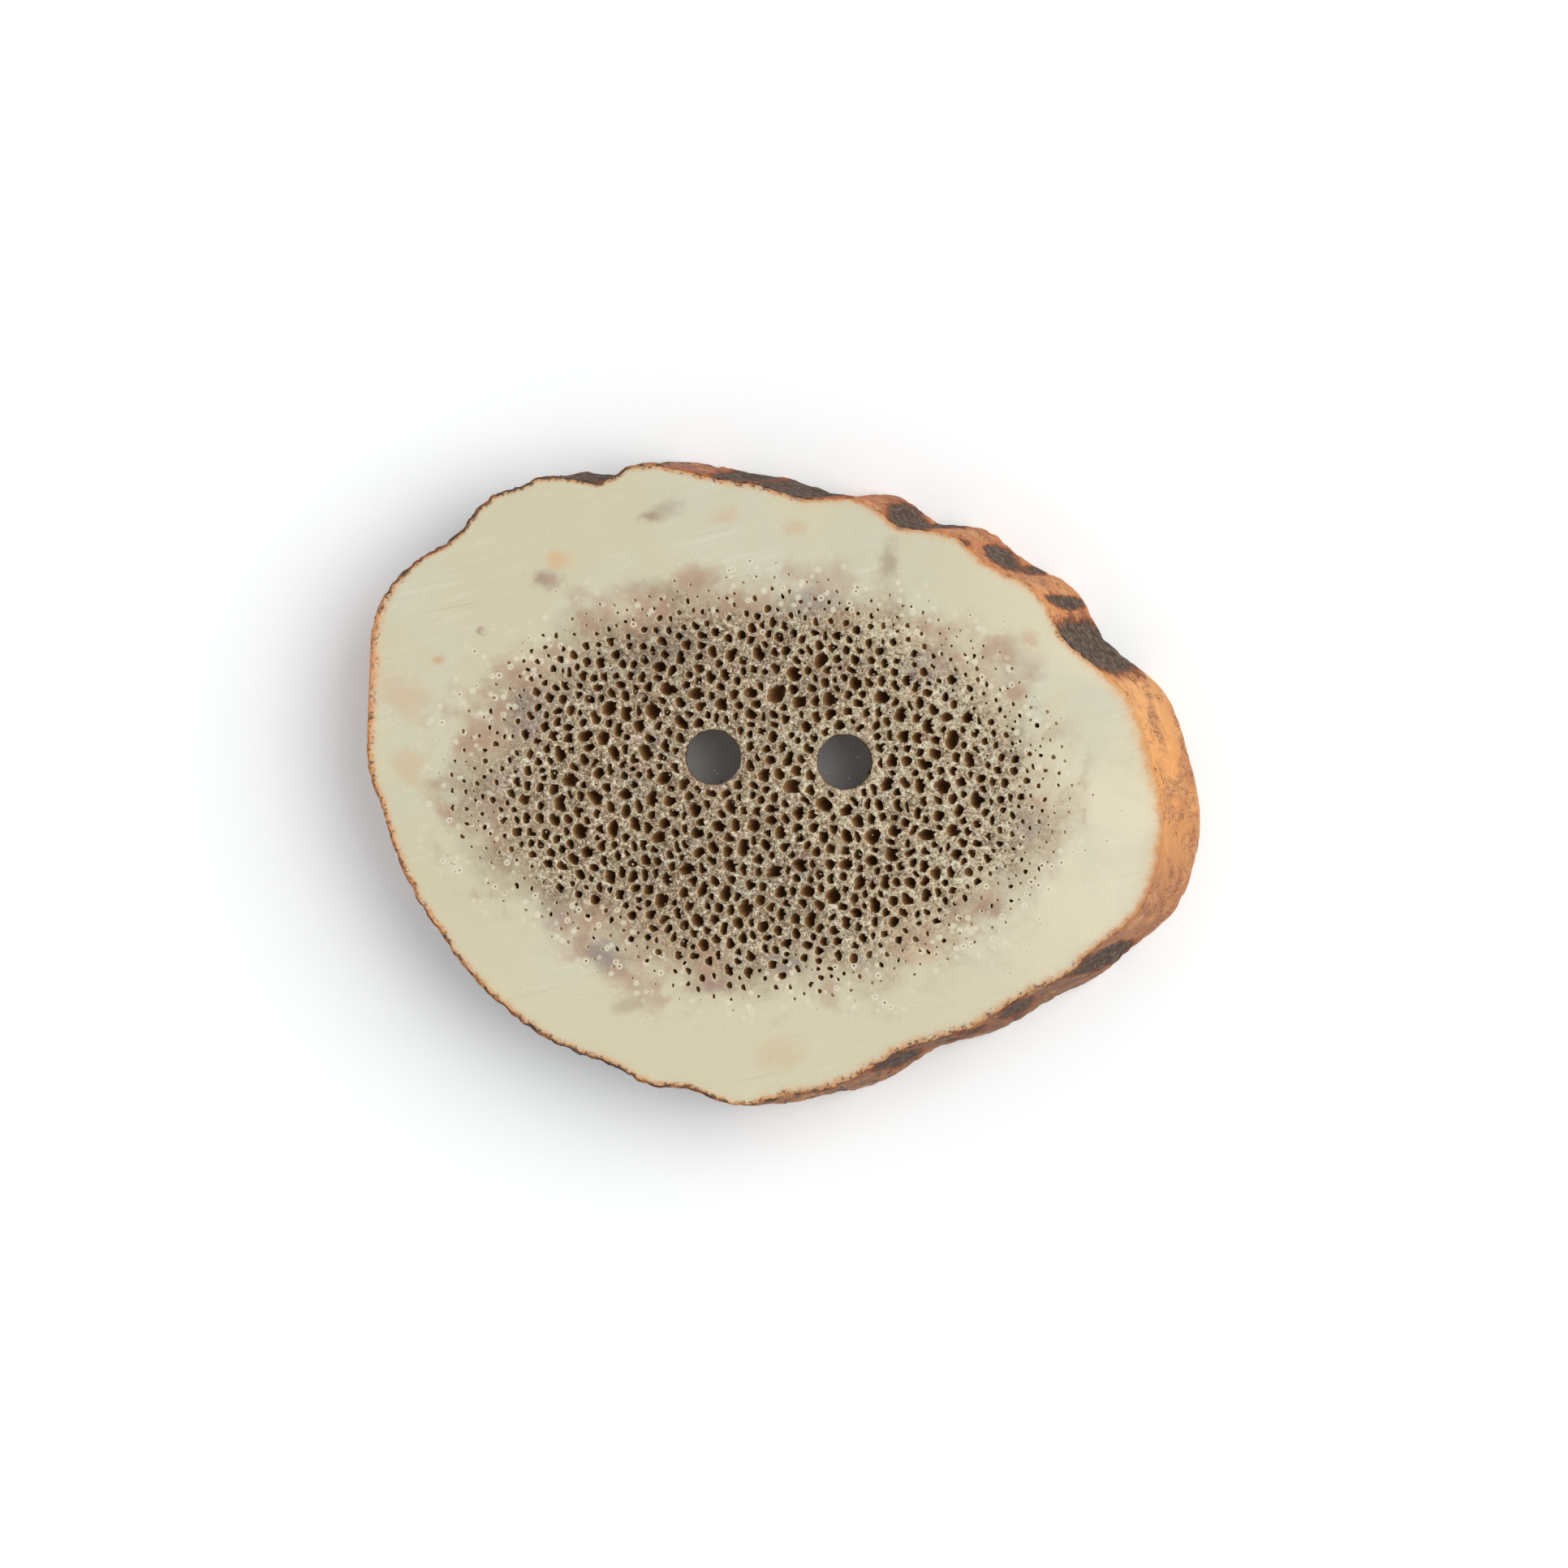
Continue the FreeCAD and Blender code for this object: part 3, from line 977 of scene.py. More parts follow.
    def _bore_holes(self) -> dict[Side, list[Edge]]:
        """Drill the thread holes, with worn mouths and slightly rough walls.

        Returns:
            The edges of the mouths in each sawn face.
        """
        mouths: dict[Side, list[Edge]] = {side: [] for side in Side}
        thickness = self.solid.thickness
        depths = [0.0, 0.03, 0.08, 0.15]
        straight = np.linspace(depths[-1], thickness - depths[-1], self.bore_rows)[1:-1]
        heights = depths + list(straight) + [thickness - depth for depth in reversed(depths)]
        worn = {0.0: 0.045, 0.03: 0.03, 0.08: 0.01}
        for place, radius in self.solid.bores:
            edges = self._ring([Vector((0, 0, 0)) for _ in range(self.bore_steps)])
            mouths[Side.FRONT] += edges
            verts = [edge.verts[0] for edge in edges]
            for depth in heights:
                if depth > 0:
                    verts, edges = self._extrude(edges, Slot.BORE)
                height = thickness - depth
                wear = worn.get(round(min(depth, height), 4), 0.0)
                for vert in verts:
                    turn = 2 * math.pi * vert[self.corner] / self.bore_steps
                    way = Vector((math.cos(turn), math.sin(turn), 0))
                    rub = noise.noise(Vector((way.x * 9 + place[0], way.y * 9, height * 1.6)))
                    most = self.mouth_rub if wear else self.bore_rub
                    vert.co = Vector((*place, height)) + way * (radius + wear + most * max(0.0, rub))
            mouths[Side.BACK] += edges
        return mouths

    def _sink_pores(self, side: Side, pores: list[Pore]) -> list[Edge]:
        """Sink the pores into a sawn face.

        Args:
            side: the face
            pores: where and how deep they are

        Returns:
            Their outer edges on the face.
        """
        height = self.solid.height(side)
        mouths: list[Edge] = []
        for number, pore in enumerate(pores):
            ring = self._ring([Vector((*corner, height)) for corner in pore.outline])
            for edge in ring:
                edge.verts[0][self.number] = number
            mouths += ring
        edges = mouths
        floors: list[Edge] = []
        widths = (1.0, 0.93, 0.72)
        depths = {2: (0.1, 1.0), 3: (0.04, 0.35, 1.0)}
        draw = random.Random(len(pores))
        for level in range(len(widths)):
            ready = [e for e in edges if pores[e.verts[0][self.number]].rings > level]
            verts, edges = self._extrude(ready, Slot.PORE if level else Slot.SAWN)
            for vert in verts:
                pore = pores[vert[self.number]]
                last = level == pore.rings - 1
                corner = pore.outline[vert[self.corner]]
                offset = corner - pore.middle
                reach = float(np.hypot(*offset))
                share = (reach - pore.lip) / reach * widths[level]
                if last and level:
                    share *= 0.85
                elif level:
                    share *= draw.uniform(0.93, 1.05)
                depth = depths[pore.rings][level] * pore.depth
                if level == 0:
                    depth *= draw.uniform(0.5, 2.6)
                sunk = pore.middle + offset * share + pore.lean * (depth / pore.depth)
                vert.co = Vector((*sunk, height - side.value * depth))
                vert[self.lip] = 1.0 if level == 0 else 0.0
            floors += [e for e in edges if pores[e.verts[0][self.number]].rings == level + 1]
        filled = bmesh.ops.edgeloop_fill(self.mesh, edges=floors, mat_nr=Slot.PORE.value)
        LOG.info("%s pores: %d floors", side.name.lower(), len(filled["faces"]))
        return mouths


class Board:
    """Places and joins the nodes of one shader tree."""

    def __init__(self, tree: bpy.types.NodeTree) -> None:
        """Clear the tree and start on it."""
        self.tree = tree
        tree.nodes.clear()

    def node(self, kind: str, **settings: object) -> bpy.types.Node:
        """A new node with its settings."""
        made = self.tree.nodes.new(kind)
        for name, value in settings.items():
            setattr(made, name, value)
        return made

    def feed(self, target: Socket, value: object) -> None:
        """Link a socket to an input, or set the input's own value."""
        if isinstance(value, bpy.types.NodeSocket):
            self.tree.links.new(value, target)
        else:
            target.default_value = value

    def math(self, operation: str, first: object, second: object = 0.0) -> Socket:
        """Result of a sum on two values."""
        made = self.node("ShaderNodeMath", operation=operation)
        self.feed(made.inputs[0], first)
        self.feed(made.inputs[1], second)
        return made.outputs[0]

    def mix(self, share: object, first: object, second: object, blend: str = "MIX") -> Socket:
        """Blend of two colours."""
        made = self.node("ShaderNodeMix", data_type="RGBA", blend_type=blend)
        self.feed(made.inputs[0], share)
        self.feed(made.inputs[6], first)
        self.feed(made.inputs[7], second)
        return made.outputs[2]

    def steps(self, value: object, low: object, high: object, start: float = 0.0,
              end: float = 1.0) -> Socket:
        """Smooth change from start at low to end at high."""
        made = self.node("ShaderNodeMapRange", interpolation_type="SMOOTHSTEP")
        for index, entry in enumerate((value, low, high, start, end)):
            self.feed(made.inputs[index], entry)
        return made.outputs[0]

    def group(self, tree: bpy.types.NodeTree, **values: object) -> dict[str, Socket]:
        """Place a node group and feed its inputs by name, with _ for a space."""
        made = self.node("ShaderNodeGroup", node_tree=tree)
        for name, value in values.items():
            self.feed(made.inputs[name.replace("_", " ")], value)
        return {socket.name: socket for socket in made.outputs}

    def attribute(self, name: str) -> bpy.types.Node:
        """Attribute of the mesh."""
        return self.node("ShaderNodeAttribute", attribute_name=name)

    def place(self) -> Socket:
        """Object coordinates, in millimetres."""
        made = self.node("ShaderNodeVectorMath", operation="SCALE")
        self.feed(made.inputs[0], self.node("ShaderNodeTexCoord").outputs["Object"])
        made.inputs["Scale"].default_value = 1 / MM
        return made.outputs[0]

    def noise(self, vector: Socket, scale: object, detail: float = 2.0, rough: float = 0.5,
              bend: float = 0.0) -> Socket:
        """Value of a noise from 0 to 1."""
        made = self.node("ShaderNodeTexNoise")
        for name, value in (("Vector", vector), ("Scale", scale), ("Detail", detail),
                            ("Roughness", rough), ("Distortion", bend)):
            self.feed(made.inputs[name], value)
        return made.outputs["Fac"]

    def axes(self, vector: Socket) -> dict[str, Socket]:
        """Parts of a vector, named X, Y and Z."""
        made = self.node("ShaderNodeSeparateXYZ")
        self.feed(made.inputs[0], vector)
        return {socket.name: socket for socket in made.outputs}

    def stretch(self, vector: Socket, turn: float, scale: tuple[float, float, float]) -> Socket:
        """Coordinates turned about Z by degrees and stretched."""
        made = self.node("ShaderNodeMapping", vector_type="TEXTURE")
        self.feed(made.inputs["Vector"], vector)
        made.inputs["Rotation"].default_value = (0, 0, math.radians(turn))
        made.inputs["Scale"].default_value = scale
        return made.outputs[0]

    def surface(self, colour: object, rough: object, normal: Socket | None,
                specular: float) -> None:
        """Principled shader as the output of a material."""
        shader = self.node("ShaderNodeBsdfPrincipled")
        self.feed(shader.inputs["Base Color"], colour)
        self.feed(shader.inputs["Roughness"], rough)
        shader.inputs["Specular IOR Level"].default_value = specular
        if normal:
            self.feed(shader.inputs["Normal"], normal)
        output = self.node("ShaderNodeOutputMaterial")
        self.tree.links.new(shader.outputs[0], output.inputs["Surface"])

    def bump(self, height: Socket, strength: float, distance: float) -> Socket:
        """Normal of a bump whose depth is in millimetres."""
        made = self.node("ShaderNodeBump")
        self.feed(made.inputs["Height"], height)
        made.inputs["Strength"].default_value = strength
        made.inputs["Distance"].default_value = distance * MM
        return made.outputs[0]


@dataclass(frozen=True)
class Effects:
    """The shared effects, each a node group with named sockets.

    Attributes:
        mottling: cloudy mask
        stain: ragged oval mask
        grain: tone and height of fine grain
    """

    mottling: bpy.types.NodeTree
    stain: bpy.types.NodeTree
    grain: bpy.types.NodeTree


def new_group(name: str, inputs: dict[str, str], outputs: dict[str, str]) -> tuple[
        bpy.types.NodeTree, Board, bpy.types.Node, bpy.types.Node]:
    """An empty node group.

    Args:
        name: its name
        inputs: socket type of each input
        outputs: socket type of each output

    Returns:
        The tree, its board, and its input and output nodes.
    """
    tree = bpy.data.node_groups.new(name, "ShaderNodeTree")
    for way, sockets in (("INPUT", inputs), ("OUTPUT", outputs)):
        for label, kind in sockets.items():
            tree.interface.new_socket(label, in_out=way, socket_type="NodeSocket" + kind)
    board = Board(tree)
    return tree, board, board.node("NodeGroupInput"), board.node("NodeGroupOutput")


def make_mottling() -> bpy.types.NodeTree:
    """Cloudy mask with soft edges between two levels of a noise."""
    tree, board, source, result = new_group(
        "mottling",
        {"Place": "Vector", "Scale": "Float", "Low": "Float", "High": "Float"},
        {"Mask": "Float"})
    cloud = board.noise(source.outputs["Place"], source.outputs["Scale"], 4.0, 0.6, 0.4)
    mask = board.steps(cloud, source.outputs["Low"], source.outputs["High"])
    board.feed(result.inputs["Mask"], mask)
    return tree


def make_stain() -> bpy.types.NodeTree:
    """Ragged oval mask at a place, 1 in its middle and 0 outside; a noise frays its edge."""
    tree, board, source, result = new_group(
        "stain",
        {"Place": "Vector", "Middle": "Vector", "Half Size": "Vector", "Turn": "Vector",
         "Cloud": "Float", "Ragged": "Float"},
        {"Mask": "Float"})
    mapping = board.node("ShaderNodeMapping", vector_type="TEXTURE")
    for name, entry in (("Vector", "Place"), ("Location", "Middle"), ("Rotation", "Turn"),
                        ("Scale", "Half Size")):
        board.feed(mapping.inputs[name], source.outputs[entry])
    length = board.node("ShaderNodeVectorMath", operation="LENGTH")
    board.feed(length.inputs[0], mapping.outputs[0])
    cloud = board.math("SUBTRACT", source.outputs["Cloud"], 0.5)
    ragged = board.math("MULTIPLY", cloud, source.outputs["Ragged"])
    reach = board.math("ADD", length.outputs["Value"], ragged)
    board.feed(result.inputs["Mask"], board.steps(reach, 1.25, 0.15))
    return tree


def make_grain() -> bpy.types.NodeTree:
    """Fine grain of sawn or broken bone, as a tone and a height from 0 to 1."""
    tree, board, source, result = new_group(
        "grain",
        {"Place": "Vector", "Scale": "Float", "Pits": "Float"},
        {"Tone": "Float", "Height": "Float"})
    fine = board.noise(source.outputs["Place"], source.outputs["Scale"], 3.0, 0.65)
    cells = board.node("ShaderNodeTexVoronoi", feature="F1")
    board.feed(cells.inputs["Vector"], source.outputs["Place"])
    board.feed(cells.inputs["Scale"], source.outputs["Scale"])
    pit = board.steps(cells.outputs["Distance"], 0.35, 0.1)
    sunk = board.math("MULTIPLY", pit, source.outputs["Pits"])
    board.feed(result.inputs["Tone"], fine)
    board.feed(result.inputs["Height"], board.math("SUBTRACT", fine, sunk))
    return tree


def new_material(name: str) -> tuple[bpy.types.Material, Board]:
    """An empty material, and the board of its nodes."""
    material = bpy.data.materials.new(name)
    material.use_nodes = True
    return material, Board(material.node_tree)


def clouds(board: Board, effects: Effects, place: Socket, scale: float, low: float,
           high: float, strength: float) -> Socket:
    """Mottling scaled to a strength.

    Args:
        board: where its nodes go
        effects: the shared effects
        place: coordinates
        scale: how fine it is
        low: level of the noise where it begins
        high: level of the noise where it is full
        strength: the mask where it is full

    Returns:
        The mask.
    """
    mask = board.group(effects.mottling, Place=place, Scale=scale, Low=low, High=high)
    return board.math("MULTIPLY", mask["Mask"], strength)


def depth_in(board: Board, place: Socket, thickness: float) -> Socket:
    """Depth of a place below the nearer sawn face, in millimetres."""
    height = board.axes(place)["Z"]
    return board.math("MINIMUM", board.math("SUBTRACT", thickness, height), height)


def crust_bits(board: Board, place: Socket) -> Socket:
    """Mask of the dark bits of crust, denser where the bark is coarser."""
    crust = board.attribute("crust").outputs["Fac"]
    bits = board.noise(place, 1.9, 4.0, 0.6, 0.3)
    level = board.math("ADD", bits, board.math("MULTIPLY", crust, 0.26))
    return board.steps(level, 0.66, 0.76)


@dataclass(frozen=True)
class SawnBone:
    """Sanded faces: ivory compact bone round the browner spongy core.

    Attributes:
        core_middle: middle of the core, in mm
        core_half: half its length and half its width, in mm
        thickness: thickness of the slice, in mm
        ivory_left: ivory at the left end
        ivory_right: ivory at the right end
        ivory_low: ivory towards the lower edge
        cool: cooler clouds in the ivory
        warm: warmer clouds in the ivory
        streak_pale: pale streaks in the ivory
        scratch_pale: fine pale scratches
        core_pale: palest tone of the core
        core_tan: tan clouds in it
        core_shade: its tone towards the left
        core_dark: dark clouds in it
        core_rose: reddish clouds in it and round it
        core_grey: greyish clouds in it
        crumb_and_pit_shade: dark crumbs of broken bone, partly painted shade standing in for tiny
            pits
        highlight_and_pale_bone: painted highlight on the lips of the pores and on the pale crumbs,
            partly pale bone; also the pale rings round the specks
        speck: specks round the core
        seep_pale: what the bark's tone is mixed with where it seeps in
        seep_gold: what it is mixed with close to the bark
        fleck: dark flecks along the edge
        crust: bits of crust on the edge
    """

    core_middle: tuple[float, float]
    core_half: tuple[float, float]
    thickness: float
    ivory_left: Colour = tone(206, 199, 168)
    ivory_right: Colour = tone(228, 219, 190)
    ivory_low: Colour = tone(212, 204, 172)
    cool: Colour = tone(205, 203, 180)
    warm: Colour = tone(213, 203, 168)
    streak_pale: Colour = tone(226, 221, 202)
    scratch_pale: Colour = tone(234, 230, 212)
    core_pale: Colour = tone(202, 188, 156)
    core_tan: Colour = tone(172, 150, 119)
    core_shade: Colour = tone(146, 126, 100)
    core_dark: Colour = tone(118, 98, 78)
    core_rose: Colour = tone(172, 136, 112)
    core_grey: Colour = tone(160, 152, 144)
    crumb_and_pit_shade: Colour = tone(96, 66, 42)
    highlight_and_pale_bone: Colour = tone(226, 219, 194)
    speck: Colour = tone(120, 62, 36)
    seep_pale: Colour = tone(238, 188, 138)
    seep_gold: Colour = tone(214, 146, 84)
    fleck: Colour = tone(82, 52, 36)
    crust: Colour = tone(74, 64, 56)

    def build(self, effects: Effects) -> bpy.types.Material:
        """Make the material."""
        material, board = new_material("sawn_bone")
        place = board.place()
        parts = board.axes(place)

        ivory = board.mix(board.steps(parts["X"], 4, 18), self.ivory_left,
                          self.ivory_right)
        ivory = board.mix(clouds(board, effects, place, 0.16, 0.42, 0.68, 0.8), ivory,
                          self.cool)
        ivory = board.mix(clouds(board, effects, place, 0.28, 0.5, 0.75, 0.7), ivory,
                          self.warm)
        streaks = board.noise(board.stretch(place, 17, (3.2, 0.3, 4.0)), 1.0, 5.0, 0.7, 0.6)
        patchy = clouds(board, effects, place, 0.2, 0.42, 0.62, 1.0)
        streak = board.math("MULTIPLY", board.steps(streaks, 0.45, 0.7, 0.0, 0.35), patchy)
        ivory = board.mix(streak, ivory, self.streak_pale)
        scratches = board.noise(board.stretch(place, 15, (14.0, 0.07, 4.0)), 1.0, 2.0, 0.5)
        scratch = board.steps(scratches, 0.66, 0.74)
        scratch = board.math("MULTIPLY", scratch, patchy)
        ivory = board.mix(board.math("MULTIPLY", scratch, 0.22), ivory, self.scratch_pale)

        ivory = board.mix(board.steps(parts["Y"], -5, -13, 0.0, 0.6), ivory,
                          self.ivory_low)

        reach, in_core = self._core(board, place)
        core = board.mix(clouds(board, effects, place, 0.9, 0.35, 0.65, 1.0), self.core_pale,
                         self.core_tan)
        core = board.mix(board.steps(parts["X"], 8, -4, 0.0, 0.55), core,
                         self.core_shade)
        core = board.mix(board.steps(parts["X"], 3, 9, 0.0, 0.4), core,
                         self.core_pale)
        core = board.mix(clouds(board, effects, place, 0.33, 0.46, 0.7, 0.55), core,
                         self.core_dark)
        core = board.mix(clouds(board, effects, place, 0.55, 0.5, 0.7, 0.6), core,
                         self.core_rose)
        core = board.mix(clouds(board, effects, place, 0.7, 0.55, 0.72, 0.5), core,
                         self.core_grey)
        gritty = board.steps(reach, 1.0, 0.78, 0.2, 1.0)

        def bits(value: Socket, low: float, high: float, strength: float) -> Socket:
            """Share of the dark and pale bits, partly painted pit shade and painted highlight, which
            thin out towards the compact wall.
            """
            return board.math("MULTIPLY", board.steps(value, low, high, 0.0, strength), gritty)

        # Dark and pale bits in the core: partly the bone's own mottling, partly painted shade of
        # tiny pits (dark) and painted highlights on the broken walls (pale).
        grit = board.group(effects.grain, Place=place, Scale=5.5, Pits=0.6)
        crumbs = board.noise(place, 2.7, 4.0, 0.7, 0.5)
        core = board.mix(bits(crumbs, 0.45, 0.36, 0.8), core, self.crumb_and_pit_shade)
        core = board.mix(bits(grit["Tone"], 0.48, 0.36, 0.8), core, self.crumb_and_pit_shade)
        core = board.mix(bits(grit["Tone"], 0.53, 0.62, 0.9), core, self.highlight_and_pale_bone)
        fine = board.noise(place, 11.0, 2.0, 0.6)
        core = board.mix(bits(fine, 0.45, 0.35, 0.5), core, self.crumb_and_pit_shade)
        core = board.mix(bits(fine, 0.56, 0.66, 0.6), core, self.highlight_and_pale_bone)
        colour = board.mix(in_core, ivory, core)

        band = board.math("MULTIPLY", board.steps(reach, 0.8, 1.0),
                          board.steps(reach, 1.28, 1.02))
        blush = clouds(board, effects, place, 0.5, 0.46, 0.66, 0.75)
        colour = board.mix(board.math("MULTIPLY", band, blush), colour, self.core_rose)
        cloud = board.noise(place, 1.5, 4.0, 0.65)
        for stain in STAINS:
            colour = self._stain(board, effects, place, cloud, colour, stain)

        dots = board.node("ShaderNodeTexVoronoi", feature="F1")
        board.feed(dots.inputs["Vector"], place)
        dots.inputs["Scale"].default_value = 2.0
        uneven = board.math("MULTIPLY", board.math("SUBTRACT", board.noise(place, 4.0, 2.0), 0.5),
                            0.22)
        from_dot = board.math("ADD", dots.outputs["Distance"], uneven)
        halo = board.steps(from_dot, 0.38, 0.22)
        dot = board.steps(from_dot, 0.12, 0.06)
        rare = board.steps(board.noise(place, 0.6, 1.0), 0.42, 0.5)
        spots = board.math("MULTIPLY", rare, board.steps(reach, 1.3, 1.1))
        spots = board.math("MULTIPLY", spots, board.steps(reach, 0.82, 0.95))
        colour = board.mix(board.math("MULTIPLY", halo, board.math("MULTIPLY", spots, 0.7)),
                           colour, self.highlight_and_pale_bone)
        colour = board.mix(board.math("MULTIPLY", dot, spots), colour, self.speck)

        # Painted highlight: the lips of the pores are paler, most of all out towards the compact
        # wall.
        lip = board.attribute("lip").outputs["Fac"]
        paler = board.steps(reach, 0.6, 0.95, 0.55, 0.95)
        colour = board.mix(board.math("MULTIPLY", lip, paler), colour, self.highlight_and_pale_bone)
        colour = self._fringe(board, place, colour)

        height = board.math("ADD", board.math("MULTIPLY", grit["Height"], gritty),
                            board.math("MULTIPLY", scratch, -0.25))
        normal = board.bump(height, 0.75, 0.06)
        rough = board.steps(in_core, 0.0, 1.0, 0.46, 0.72)
        board.surface(colour, rough, normal, 0.35)
        return material

    def _stain(self, board: Board, effects: Effects, place: Socket, cloud: Socket,
               colour: Socket, stain: Stain) -> Socket:
        """The colour with one stain over it, which fades out towards the back."""
        mask = board.group(
            effects.stain, Place=place, Middle=(stain.across, stain.up, self.thickness),
            Half_Size=(stain.length, stain.width, self.thickness / 2),
            Turn=(0, 0, math.radians(stain.turn)), Cloud=cloud, Ragged=1.6)
        return board.mix(board.math("MULTIPLY", mask["Mask"], stain.strength), colour,
                         stain.colour)

    def _core(self, board: Board, place: Socket) -> tuple[Socket, Socket]:
        """Share of the way out in the core, and the mask of the core."""
        mapping = board.node("ShaderNodeMapping", vector_type="TEXTURE")
        board.feed(mapping.inputs["Vector"], place)
        mapping.inputs["Location"].default_value = (*self.core_middle, 0)
        mapping.inputs["Scale"].default_value = (*self.core_half, 1e6)
        length = board.node("ShaderNodeVectorMath", operation="LENGTH")
        board.feed(length.inputs[0], mapping.outputs[0])
        drift = board.math("SUBTRACT", board.noise(place, 0.28, 4.0, 0.6), 0.5)
        reach = board.math("ADD", length.outputs["Value"], board.math("MULTIPLY", drift, 0.55))
        return reach, board.steps(reach, 1.15, 0.9)

    def _fringe(self, board: Board, place: Socket, colour: Socket) -> Socket:
        """The bark's tone seeping into the outer edge, with dark specks along it."""
        seep = board.attribute("fringe").outputs["Fac"]
        bark = board.attribute("bark_tone").outputs["Color"]
        cloud = board.math("SUBTRACT", board.noise(place, 2.2, 4.0, 0.65), 0.5)
        edge = board.math("ADD", seep, board.math("MULTIPLY", cloud, 0.9))
        wide = board.steps(edge, 0.05, 0.95, 0.0, 0.55)
        glow = board.mix(0.65, bark, self.seep_pale)
        colour = board.mix(wide, colour, glow)
        crust = board.attribute("crust").outputs["Fac"]
        gold = board.mix(board.steps(crust, 0.0, 0.4, 0.35, 0.8), bark, self.seep_gold)
        colour = board.mix(board.steps(edge, 0.5, 1.05, 0.0, 0.9), colour, gold)
        specks = board.steps(board.noise(place, 5.5, 3.0, 0.65), 0.52, 0.62)
        close = board.math("MULTIPLY", board.steps(seep, 0.35, 0.9, 0.0, 0.9),
                           board.steps(crust, 0.0, 0.4, 0.15, 1.0))
        colour = board.mix(board.math("MULTIPLY", specks, close), colour, self.fleck)
        bits = crust_bits(board, place)
        edge = board.steps(edge, 0.75, 1.05, 0.0, 0.9)
        return board.mix(board.math("MULTIPLY", bits, edge), colour, self.crust)


@dataclass(frozen=True)
class PoreLining:
    """Inside of the pores: khaki at the mouth, dark brown further down, partly their brown stain and
    partly painted shade of the depth.

    Attributes:
        thickness: thickness of the slice, in mm
        mouth: tone just below the face
        brown: tone a little further down
        deep: tone at the floor, the brown stain darkened with painted shade
        rust: warmer tone in places
    """

    thickness: float
    mouth: Colour = tone(190, 170, 130)
    brown: Colour = tone(142, 106, 66)
    deep: Colour = tone(108, 72, 38)
    rust: Colour = tone(146, 88, 52)

    def build(self, effects: Effects) -> bpy.types.Material:
        """Make the material."""
        material, board = new_material("pore_lining")
        place = board.place()
        sunk = depth_in(board, place, self.thickness)
        # Painted shade: the lining darkens with depth below the face, over the brown stain that real
        # pores have inside.
        colour = board.mix(board.steps(sunk, 0.02, 0.17), self.mouth, self.brown)
        colour = board.mix(board.steps(sunk, 0.2, 0.8), colour, self.deep)
        rust = board.group(effects.mottling, Place=place, Scale=1.1, Low=0.5, High=0.7)
        colour = board.mix(board.math("MULTIPLY", rust["Mask"], 0.4), colour, self.rust)
        grain = board.group(effects.grain, Place=place, Scale=6.0, Pits=0.3)
        board.surface(colour, 0.55, board.bump(grain["Height"], 0.5, 0.05), 0.35)
        return material


